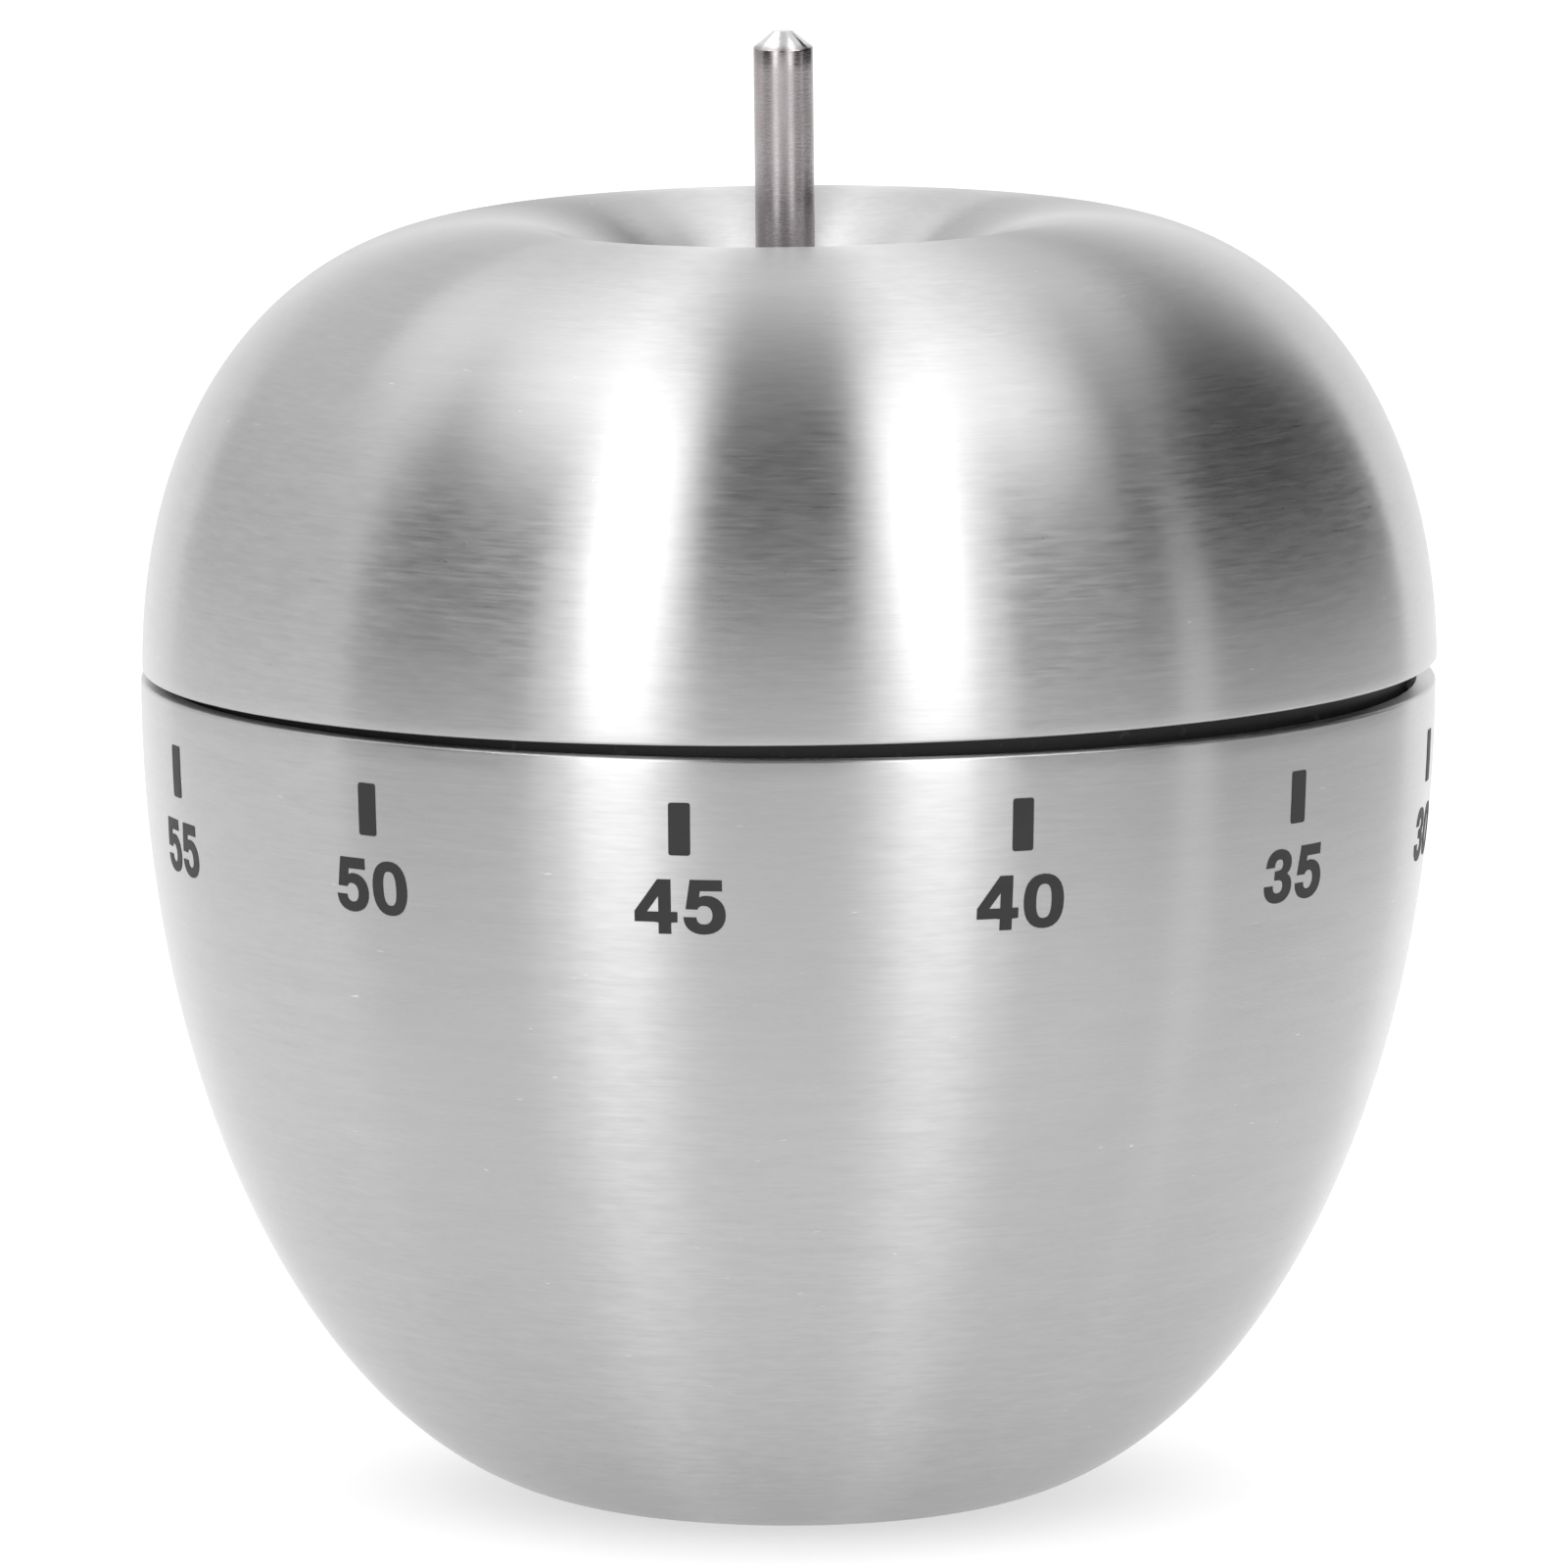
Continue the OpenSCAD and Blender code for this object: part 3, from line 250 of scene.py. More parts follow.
def deselect():
    """Leaves nothing selected, in object mode."""
    if bpy.context.mode != "OBJECT":
        bpy.ops.object.mode_set(mode="OBJECT")
    bpy.ops.object.select_all(action="DESELECT")


def only(piece):
    """Makes one piece the selected and active one."""
    deselect()
    piece.select_set(True)
    bpy.context.view_layer.objects.active = piece


def settle(piece):
    """Moves a piece's place, turn and scale into its mesh."""
    only(piece)
    bpy.ops.object.transform_apply(location=True, rotation=True, scale=True)


def edit(piece):
    """Enters edit mode with nothing selected."""
    only(piece)
    bpy.ops.object.mode_set(mode="EDIT")
    bpy.ops.mesh.select_all(action="DESELECT")


def choose(piece, wanted):
    """In edit mode, selects vertices by their place, and what lies between them."""
    mesh = bmesh.from_edit_mesh(piece.data)
    for vertex in mesh.verts:
        vertex.select = bool(wanted(vertex.co))
    mesh.select_flush(True)
    bmesh.update_edit_mesh(piece.data)


def smooth(piece, degrees=SHEET_CREASE):
    """Shades a piece smooth, apart from its sharp edges."""
    only(piece)
    bpy.ops.object.shade_smooth_by_angle(angle=math.radians(degrees))


def name_piece(piece, name):
    """Gives a piece and its mesh their name."""
    piece.name = name
    piece.data.name = name
    return piece


def apply_modifiers(piece):
    """Applies a piece's modifiers in their order."""
    only(piece)
    for modifier in list(piece.modifiers):
        bpy.ops.object.modifier_apply(modifier=modifier.name)


def turned(name, profile, around, hollow):
    """Turns a (radius, height) outline round the upright axis, ring after ring.

    A hollow outline ends where it starts; a solid one starts and ends on the axis.
    """
    radius, height = profile[0]
    deselect()
    bpy.ops.mesh.primitive_circle_add(
        vertices=around,
        radius=radius,
        fill_type="NOTHING" if hollow else "TRIFAN",
        location=(0.0, 0.0, height),
    )
    piece = name_piece(bpy.context.object, name)
    settle(piece)
    edit(piece)
    bpy.ops.mesh.select_mode(type="EDGE")
    choose(piece, lambda co: co.xy.length > radius / 2)
    for next_radius, next_height in profile[1:]:
        bpy.ops.mesh.extrude_edges_move(
            TRANSFORM_OT_translate={"value": (0.0, 0.0, next_height - height)}
        )
        grow = next_radius / radius
        bpy.ops.transform.resize(
            value=(grow, grow, 1.0), center_override=(0.0, 0.0, next_height)
        )
        radius, height = next_radius, next_height
    if not hollow:
        bpy.ops.mesh.edge_face_add()
        bpy.ops.mesh.poke()
    bpy.ops.mesh.select_all(action="SELECT")
    bpy.ops.mesh.remove_doubles(threshold=WELD)
    bpy.ops.mesh.normals_make_consistent(inside=False)
    bpy.ops.object.mode_set(mode="OBJECT")
    check_outward(piece)
    return piece


def check_outward(piece):
    """Stops if a closed piece is open or inside out."""
    mesh = bmesh.new()
    mesh.from_mesh(piece.data)
    open_edges = sum(1 for edge in mesh.edges if not edge.is_manifold)
    volume = mesh.calc_volume(signed=True)
    mesh.free()
    if open_edges or volume <= 0:
        raise RuntimeError(f"{piece.name}: {open_edges} open edges, volume {volume}")


def check_place(piece, node):
    """Stops if a piece doesn't fill the box of the node it stands for."""
    low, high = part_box(node)
    for axis in range(3):
        places = [vertex.co[axis] for vertex in piece.data.vertices]
        off = max(abs(min(places) - low[axis]), abs(max(places) - high[axis]))
        if off > BOX_SLACK:
            raise RuntimeError(f"{piece.name} doesn't fill {node} along axis {axis}")


def curve_point(corners, at):
    """A (radius, height) on a cubic curve, and its direction."""
    a, b, c, d = (Vector(corner) for corner in corners)
    back = 1.0 - at
    place = back**3 * a + 3 * at * back**2 * b + 3 * at**2 * back * c + at**3 * d
    way = back**2 * (b - a) + 2 * at * back * (c - b) + at**2 * (d - c)
    return place, way.normalized()


def sheet(corners, steps, side, inset):
    """Points along a cubic curve, pushed to one side by inset."""
    made = []
    for step in range(steps + 1):
        place, way = curve_point(corners, step / steps)
        across = Vector((-way.y, way.x)) * side
        made.append(place + across * inset)
    return made


def rounded_corner(corner, radius, start, end, steps=4):
    """Quarter circle inside a corner, from its start direction to its end direction."""
    centre = corner + radius * (start + end)
    return [
        centre - radius * (math.cos(turn) * end + math.sin(turn) * start)
        for turn in (math.pi / 2 * step / steps for step in range(steps + 1))
    ]


def rotate_chosen(turn, axis, height):
    """In edit mode, turns what is selected about an axis through the middle line."""
    bpy.ops.transform.rotate(
        value=turn,
        orient_axis=axis,
        orient_type="GLOBAL",
        center_override=(0.0, 0.0, height),
    )


def rotate_all(piece, turn, axis, height):
    """Turns a piece about an axis through the middle line."""
    edit(piece)
    bpy.ops.mesh.select_all(action="SELECT")
    rotate_chosen(turn, axis, height)
    bpy.ops.object.mode_set(mode="OBJECT")


def lean(piece, body):
    """Leans a piece as the lid leans."""
    rotate_all(piece, body.lean, "Y", body.lean_height)


# ---- finishes


class Value:
    """A shader socket that can stand in sums."""

    def __init__(self, finish, socket):
        self.finish = finish
        self.socket = socket

    def maths(self, operation, first, second=None, clamp=False):
        sockets = {0: first}
        if second is not None:
            sockets[1] = second
        return self.finish.node(
            "ShaderNodeMath", {"operation": operation, "use_clamp": clamp}, sockets
        )

    def __add__(self, other):
        return self.maths("ADD", self, other)

    __radd__ = __add__

    def __sub__(self, other):
        return self.maths("SUBTRACT", self, other)

    def __rsub__(self, other):
        return self.maths("SUBTRACT", other, self)

    def __mul__(self, other):
        return self.maths("MULTIPLY", self, other)

    __rmul__ = __mul__

    def __truediv__(self, other):
        return self.maths("DIVIDE", self, other)

    def clamped(self):
        """Kept between 0 and 1."""
        return self.maths("ADD", self, 0.0, clamp=True)

    def swing(self, amount):
        """Noise about its middle, times an amount."""
        return (self - 0.5) * amount

    def above(self, level, gain):
        """How far it rises over a level, from 0 to 1."""
        return ((self - level) * gain).clamped()

    def root(self):
        return self.maths("SQRT", self)


class Finish:
    """One node material, written socket by socket."""

    def __init__(self, name):
        self.material = bpy.data.materials.new(name)
        self.material.use_nodes = True
        self.tree = self.material.node_tree
        self.tree.nodes.clear()
        self.column = 0

    def make(self, kind, settings=None, sockets=None):
        """Adds a node: its settings first, then the values or links of its sockets."""
        made = self.tree.nodes.new(kind)
        self.column += 1
        made.location = (self.column * 180 - 4000, (self.column % 7) * -160)
        for key, value in (settings or {}).items():
            setattr(made, key, value)
        for key, value in (sockets or {}).items():
            socket = made.inputs[key]
            if isinstance(value, Value):
                self.tree.links.new(value.socket, socket)
            else:
                socket.default_value = value
        return made

    def node(self, kind, settings=None, sockets=None, out=0):
        """Adds a node and gives one of its outputs."""
        return Value(self, self.make(kind, settings, sockets).outputs[out])

    def close(self, shader):
        """Ends the material with a shader."""
        self.make("ShaderNodeOutputMaterial", None, {0: shader})
        return self.material

    def place(self):
        """Object coordinates as one vector."""
        return self.node("ShaderNodeTexCoord", out="Object")

    def stretched(self, vector, stretch):
        """A vector with each number multiplied."""
        return self.node("ShaderNodeMapping", None, {0: vector, 3: stretch})

    def split(self, vector):
        """A vector's three numbers."""
        made = self.make("ShaderNodeSeparateXYZ", None, {0: vector})
        return tuple(Value(self, output) for output in made.outputs)

    def join(self, x, y, z):
        """A vector from three numbers."""
        return self.node("ShaderNodeCombineXYZ", None, {0: x, 1: y, 2: z})

    def noise(self, vector, scale, detail=2.0, roughness=0.5, w=None):
        """Noise between 0 and 1; with w, in four dimensions."""
        sockets = {
            "Vector": vector,
            "Scale": scale,
            "Detail": detail,
            "Roughness": roughness,
        }
        if w is not None:
            sockets["W"] = w
        return self.node(
            "ShaderNodeTexNoise",
            {"noise_dimensions": "3D" if w is None else "4D"},
            sockets,
        )

    def mix(self, factor, first, second):
        """A colour between two."""
        return self.node(
            "ShaderNodeMix",
            {"data_type": "RGBA"},
            {0: factor, 6: tint(first), 7: tint(second)},
            2,
        )

    def bump(self, height, strength, distance):
        """A normal from a height."""
        return self.node(
            "ShaderNodeBump",
            None,
            {"Strength": strength, "Distance": distance, "Height": height},
        )

    def surface(self, **sockets):
        """Closes the material with its surface shader."""
        named = {key.replace("_", " "): value for key, value in sockets.items()}
        return self.close(self.node("ShaderNodeBsdfPrincipled", None, named))


def tint(value):
    """A colour with its fourth number."""
    return value if isinstance(value, Value) else (*tuple(value)[:3], 1.0)


def shade(value, by):
    """A colour made lighter or darker."""
    return tuple(min(1.0, part * by) for part in tuple(value)[:3])


NEVER_ZERO = 1e-12


def rings(finish, centre, along, across):
    """Scratches that run round an upright axis through centre.

    They are long along and fine across; each call's shares make them longer or coarser.
    """
    x, y, z = finish.split(finish.place())
    x = x - centre[0]
    y = y - centre[1]
    radius = (x * x + y * y + NEVER_ZERO).root()
    return lambda length_share, fine_share: finish.noise(
        finish.join(
            x / radius * along * length_share,
            y / radius * along * length_share,
            z * across * fine_share,
        ),
        scale=1.0,
        detail=2.0,
        roughness=0.6,
        w=radius * across * fine_share,
    )


def brushed_shell(name, body_colour, roughness, grain):
    """Spun steel sheet, brushed round and round, with handling marks and painted
    glints.
    """
    finish = Finish(name)
    scratch = rings(finish, MIDDLE, 9.0, 9000.0)
    fine = scratch(1.0, 1.0)
    strokes = scratch(2.2, 0.42)
    bands = scratch(0.45, 0.16)
    sparse = scratch(3.2, 0.5)
    # Sparse glints: painted highlights, flecks where the colour below is made lighter,
    # with a little less roughness.
    glint = sparse.above(0.72, 10.0)
    smudge = finish.noise(finish.place(), 55.0, 3.0, 0.55)
    tone = (
        fine.swing(1.1 * grain)
        + strokes.swing(1.3 * grain)
        + bands.swing(0.5 * grain)
        + 0.5
    )
    base = finish.mix(tone.clamped(), shade(body_colour, 0.8), shade(body_colour, 1.2))
    # Painted glints: the colour is lightened where the glints stand, in place of
    # highlights.
    base = finish.mix(glint * 0.6, base, shade(body_colour, 1.5))
    rough = (
        roughness
        + fine.swing(0.22 * grain)
        + strokes.swing(0.2 * grain)
        + smudge.swing(0.08)
        - glint * 0.12
    )
    height = fine * 0.5 + strokes * 0.7 + bands * 0.3 + glint * 0.4
    return finish.surface(
        Base_Color=base,
        Metallic=1.0,
        Roughness=rough.clamped(),
        Anisotropic=1.0,
        Anisotropic_Rotation=0.25,
        Normal=finish.bump(height, 0.2, 0.03 * MM),
    )


def turned_metal(name, metal_colour, roughness, centre=MIDDLE, wear=0.5, across=7000.0):
    """Metal turned or polished round its own axis, with darker patches of handling."""
    finish = Finish(name)
    scratch = rings(finish, centre, 12.0, across)
    fine = scratch(1.0, 1.0)
    broad = scratch(0.3, 0.12)
    patches = finish.noise(finish.place(), 260.0, 4.0, 0.6)
    tone = fine.swing(0.5) + broad.swing(0.4) + 0.5
    dark, light = shade(metal_colour, 0.78), shade(metal_colour, 1.2)
    base = finish.mix(tone.clamped(), dark, light)
    dulled = patches.above(0.55, 5.0)
    base = finish.mix(dulled * wear, base, shade(metal_colour, 0.6))
    rough = roughness + fine.swing(0.18) + dulled * (0.22 * wear)
    return finish.surface(
        Base_Color=base,
        Metallic=1.0,
        Roughness=rough.clamped(),
        Normal=finish.bump(fine * 0.7 + broad * 0.5, 0.2, 0.02 * MM),
    )


def grained_metal(name, metal_colour, roughness, stretch=(1.0, 14.0, 14.0), wear=0.5):
    """Rolled or stamped metal: straight grain, small pits and stains."""
    finish = Finish(name)
    place = finish.place()
    grain_at = finish.stretched(place, stretch)
    grain = finish.noise(grain_at, 420.0, 4.0, 0.65)
    edges = {"feature": "DISTANCE_TO_EDGE"}
    pits = finish.node("ShaderNodeTexVoronoi", edges, {0: place, "Scale": 1900.0})
    stain = finish.noise(place, 140.0, 5.0, 0.6)
    pitted = (1.0 - pits * 9.0).clamped() * stain.above(0.5, 6.0)
    base = finish.mix(grain, shade(metal_colour, 0.74), shade(metal_colour, 1.22))
    base = finish.mix(stain.above(0.52, 5.0) * wear, base, shade(metal_colour, 0.55))
    rough = roughness + grain.swing(0.2) + stain.swing(0.25)
    return finish.surface(
        Base_Color=base,
        Metallic=1.0,
        Roughness=rough.clamped(),
        Normal=finish.bump(grain * 0.6 - pitted * 0.5, 0.25, 0.02 * MM),
    )


def blued_steel(name, metal_colour, heat_colour):
    """Spring steel let down to blue, drifting to straw."""
    finish = Finish(name)
    place = finish.place()
    drift = finish.noise(place, 190.0, 2.0, 0.5)
    grain_at = finish.stretched(place, (1.0, 1.0, 16.0))
    grain = finish.noise(grain_at, 700.0, 3.0, 0.6)
    base = finish.mix(drift.above(0.42, 3.5), metal_colour, heat_colour)
    base = finish.mix(grain * 0.35, base, shade(metal_colour, 0.5))
    return finish.surface(
        Base_Color=base,
        Metallic=1.0,
        Roughness=(0.26 + grain.swing(0.16)).clamped(),
        Normal=finish.bump(grain, 0.15, 0.02 * MM),
    )


def moulded_plastic(name, plastic_colour, roughness, dust_colour):
    """Moulded plastic: fine spark-eroded grain, flow marks and a little dust."""
    finish = Finish(name)
    place = finish.place()
    grain = finish.noise(place, 5200.0, 2.0, 0.7)
    flow_at = finish.stretched(place, (1.0, 1.0, 3.0))
    flow = finish.noise(flow_at, 90.0, 4.0, 0.6)
    specks = finish.noise(place, 1500.0, 1.0, 0.4)
    dust = specks.above(0.68, 8.0)
    base = finish.mix(flow, shade(plastic_colour, 0.8), shade(plastic_colour, 1.25))
    base = finish.mix(dust * 0.35, base, dust_colour)
    return finish.surface(
        Base_Color=base,
        Roughness=(roughness + flow.swing(0.2) + dust * 0.15).clamped(),
        Specular_IOR_Level=0.4,
        Normal=finish.bump(grain, 0.35, 0.02 * MM),
    )


def scale_ink(name, ink_colour):
    """Screen-printed ink: matt, a little uneven, with the weave of its screen."""
    finish = Finish(name)
    place = finish.place()
    mottle = finish.noise(place, 900.0, 3.0, 0.6)
    weave = finish.noise(place, 5200.0, 2.0, 0.6)
    base = finish.mix(mottle, shade(ink_colour, 0.75), shade(ink_colour, 1.35))
    return finish.surface(
        Base_Color=base,
        Roughness=(0.55 + mottle.swing(0.25)).clamped(),
        Specular_IOR_Level=0.25,
        Normal=finish.bump(weave, 0.2, 0.01 * MM),
    )


CUT_TIP = (0.7, 0.7, 0.705)


def stem_steel(name, metal_colour, bright_from):
    """Turned steel: lathe rings, a browned bloom and a bright tip above bright_from."""
    finish = Finish(name)
    scratch = rings(finish, MIDDLE, 2.0, 11000.0)
    fine = scratch(1.0, 1.0)
    place = finish.place()
    streak_at = finish.stretched(place, (9.0, 9.0, 1.0))
    streaks = finish.noise(streak_at, 210.0, 3.0, 0.6)
    bloom = finish.noise(place, 420.0, 4.0, 0.6)
    base = finish.mix(streaks, shade(metal_colour, 0.72), shade(metal_colour, 1.3))
    browned = (metal_colour[0] * 0.9, metal_colour[1] * 0.8, metal_colour[2] * 0.8)
    base = finish.mix(bloom.above(0.45, 3.0) * 0.6, base, browned)
    height = finish.split(place)[2]
    cut = height.above(bright_from, 5000.0)
    base = finish.mix(cut, base, CUT_TIP)
    return finish.surface(
        Base_Color=base,
        Metallic=1.0,
        Roughness=(0.27 + fine.swing(0.25) + bloom.swing(0.1) - cut * 0.1).clamped(),
        Normal=finish.bump(fine * 0.6 + streaks * 0.5, 0.25, 0.03 * MM),
    )


def dress(piece, material):
    """Gives a piece one material all over."""
    piece.data.materials.clear()
    piece.data.materials.append(material)


def brush(piece, name, looks):
    """Gives a shell its brushed steel."""
    dress(piece, brushed_shell(name, looks.steel, looks.steel_rough, looks.steel_grain))


def print_in_ink(piece, name, looks):
    """Gives a print its ink."""
    smooth(piece, INK_CREASE)
    dress(piece, scale_ink(name, tuple(looks.ink)))


def redress(node, material):
    """Gives a carried-over node a better material on the slots it has."""
    piece = frame["nodes"][node]
    if not piece.material_slots:
        piece.data.materials.append(material)
    for slot in piece.material_slots:
        slot.material = material


# ---- the pieces


class TIMER_OT_bowl(bpy.types.Operator):
    """Spins the steel bowl ring by ring and brushes it"""

    bl_idname = "timer.bowl"
    bl_label = "Bowl"

    def execute(self, context):
        body, _, _, looks = settings()
        high = body.bowl_height
        corners = (
            (body.radius, high),
            (body.radius, high - body.bowl_fullness),
            (body.base_radius + body.bottom_fullness, 0.0),
            (body.base_radius, 0.0),
        )
        seat = body.radius - body.rim_wall
        outside = sheet(corners, OUTSIDE_STEPS, -1.0, 0.0)
        inside = sheet(corners, INSIDE_STEPS, -1.0, body.wall)
        inside = [Vector((min(place.x, seat), place.y)) for place in inside[1:]]
        rim = rounded_corner(Vector((body.radius, high)), body.rim_round, DOWN, INWARD)
        rim_low = high - body.rim_round
        below_rim = [place for place in reversed(outside) if place.y < rim_low]
        inner_rim = rounded_corner(
            Vector((seat, high)), body.rim_round / 2, OUTWARD, DOWN, 2
        )
        profile = below_rim + rim + inner_rim + inside
        piece = turned("bowl_shell", profile, body.around, False)
        check_place(piece, "lower_shell")
        smooth(piece)
        brush(piece, "bowl_brushed_steel", looks)
        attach(piece, "bowl")
        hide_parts("lower_shell")
        return {"FINISHED"}


class TIMER_OT_lid(bpy.types.Operator):
    """Spins the steel lid with its crest and dimple, leans it and brushes it"""

    bl_idname = "timer.lid"
    bl_label = "Lid"

    def execute(self, context):
        body, _, _, looks = settings()
        low = body.bowl_height + body.gap
        crest = body.crest_height
        floor = crest - body.dimple_depth
        shoulder = (
            (body.radius, low),
            (body.radius, low + body.lid_fullness),
            (body.crest_radius + body.crest_fullness, crest),
            (body.crest_radius, crest),
        )
        dimple = (
            (body.crest_radius, crest),
            (body.crest_radius - body.dimple_run, crest),
            (body.dimple_floor + body.dimple_foot, floor),
            (body.dimple_floor, floor),
        )
        seat = body.radius - body.rim_wall
        outside = sheet(shoulder, OUTSIDE_STEPS, 1.0, 0.0)
        outside += sheet(dimple, DIMPLE_STEPS, 1.0, 0.0)[1:]
        under = sheet(dimple, DIMPLE_UNDER_STEPS, 1.0, body.wall)[1:]
        inside = sheet(shoulder, INSIDE_STEPS, 1.0, body.wall)[1:]
        inside = [Vector((min(place.x, seat), place.y)) for place in inside]
        rim = rounded_corner(Vector((body.radius, low)), body.rim_round, INWARD, UP)
        inner_rim = rounded_corner(
            Vector((seat, low)), body.rim_round / 2, UP, OUTWARD, 2
        )
        above_rim = [
            place
            for place in outside
            if place.y > low + body.rim_round or place.x < body.radius / 2
        ]
        hole = [
            Vector((body.hole_radius, floor)),
            Vector((body.hole_radius, floor - body.wall)),
        ]
        profile = rim + above_rim + hole + under[::-1] + inside[::-1] + inner_rim
        profile.append(profile[0])
        piece = turned("lid_shell", profile, body.around, True)
        lean(piece, body)
        check_place(piece, "upper_shell")
        smooth(piece)
        brush(piece, "lid_brushed_steel", looks)
        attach(piece, "lid")
        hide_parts("upper_shell")
        return {"FINISHED"}


class TIMER_OT_stem(bpy.types.Operator):
    """Turns the steel stem with its shank, shoulder and slanted bevel"""

    bl_idname = "timer.stem"
    bl_label = "Stem"

    def execute(self, context):
        body, stem, _, looks = settings()
        shoulder = body.crest_height - body.dimple_depth + STEM_SEAT
        top = STEM_HIGH.z
        bevel_at = top - stem.bevel
        shank = stem.shank_radius
        profile = [
            (shank, STEM_LOW.z),
            (shank, shoulder),
            (stem.radius - stem.edge, shoulder),
            (stem.radius, shoulder + stem.edge),
        ]
        rise = (bevel_at - shoulder) / STEM_RINGS
        profile += [
            (stem.radius, shoulder + rise * step) for step in range(1, STEM_RINGS + 1)
        ]
        profile += [(stem.tip_radius, top)]
        piece = turned("stem_rod", profile, STEM_AROUND, False)
        edit(piece)
        choose(piece, lambda co: abs(co.z - bevel_at) < SAME_HEIGHT)
        rotate_chosen(-stem.slant, "X", bevel_at)
        bpy.ops.mesh.bevel(offset=STEM_BREAK, segments=2)
        bpy.ops.object.mode_set(mode="OBJECT")
        lean(piece, body)
        check_place(piece, "stem")
        smooth(piece, STEM_CREASE)
        dress(piece, stem_steel("stem_turned_steel", tuple(looks.stem), bevel_at))
        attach(piece, "lid")
        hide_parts("stem")
        return {"FINISHED"}


def bend_onto(piece, shell, proud, thick):
    """Lays a flat print facing the front onto a shell and gives it its thickness."""
    only(piece)
    wrap = piece.modifiers.new("wrap", "SHRINKWRAP")
    wrap.target = shell
    wrap.wrap_method = "PROJECT"
    wrap.use_project_y = True
    wrap.use_positive_direction = True
    wrap.use_negative_direction = False
    wrap.offset = proud
    layer = piece.modifiers.new("layer", "SOLIDIFY")
    layer.thickness = thick
    layer.offset = -1.0
    apply_modifiers(piece)
    check_outward(piece)


def turn_about_axis(piece, turn):
    """Turns a piece about the upright axis, from the front towards +X."""
    rotate_all(piece, -turn, "Z", 0.0)


def joined(name, pieces):
    """Joins pieces into one."""
    deselect()
    for piece in pieces:
        piece.select_set(True)
    bpy.context.view_layer.objects.active = pieces[0]
    if len(pieces) > 1:
        bpy.ops.object.join()
    return name_piece(bpy.context.object, name)


def copied(piece):
    """A copy with its own mesh."""
    only(piece)
    bpy.ops.object.duplicate(linked=False)
    return bpy.context.object


def printed_tick(name, scale, top, radius):
    """A flat upright mark with rounded corners, in front of a shell."""
    width, tall = scale.tick_width, scale.tick_length
    deselect()
    bpy.ops.mesh.primitive_plane_add(
        size=1.0,
        location=(0.0, -radius - PRINT_STANDOFF, top - tall / 2),
        rotation=(math.pi / 2, 0.0, 0.0),
    )
    piece = name_piece(bpy.context.object, name)
    piece.scale = (width, tall, 1.0)
    settle(piece)
    edit(piece)
    bpy.ops.mesh.select_all(action="SELECT")
    bpy.ops.mesh.bevel(
        offset=scale.tick_corner, segments=TICK_CORNER_STEPS, affect="VERTICES"
    )
    slice_up((1, 0, 0), -width / 2, width / 2, TICK_COLUMNS)
    slice_up((0, 0, 1), top - tall, top, TICK_ROWS)
    bpy.ops.object.mode_set(mode="OBJECT")
    return piece


def slice_up(normal, low, high, count):
    """In edit mode, cuts the edited flat piece into even slices."""
    for step in range(1, count):
        at = low + (high - low) * step / count
        bpy.ops.mesh.select_all(action="SELECT")
        bpy.ops.mesh.bisect(plane_co=[part * at for part in normal], plane_no=normal)


class TIMER_OT_ticks(bpy.types.Operator):
    """Prints the twelve five-minute marks round the bowl"""

    bl_idname = "timer.ticks"
    bl_label = "Minute marks"

    def execute(self, context):
        body, _, scale, looks = settings()
        shell = bpy.data.objects["bowl_shell"]
        first = printed_tick("minute_marks", scale, scale.tick_top, body.radius)
        bend_onto(first, shell, scale.ink_proud, scale.ink_thick)
        turn_about_axis(first, scale.zero_at)
        marks = [first]
        for minute in range(MINUTE_STEP, MINUTES, MINUTE_STEP):
            mark = copied(first)
            turn_about_axis(mark, -2 * math.pi * minute / MINUTES)
            marks.append(mark)
        piece = joined("minute_marks", marks)
        print_in_ink(piece, "minute_ink", looks)
        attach(piece, "bowl")
        return {"FINISHED"}


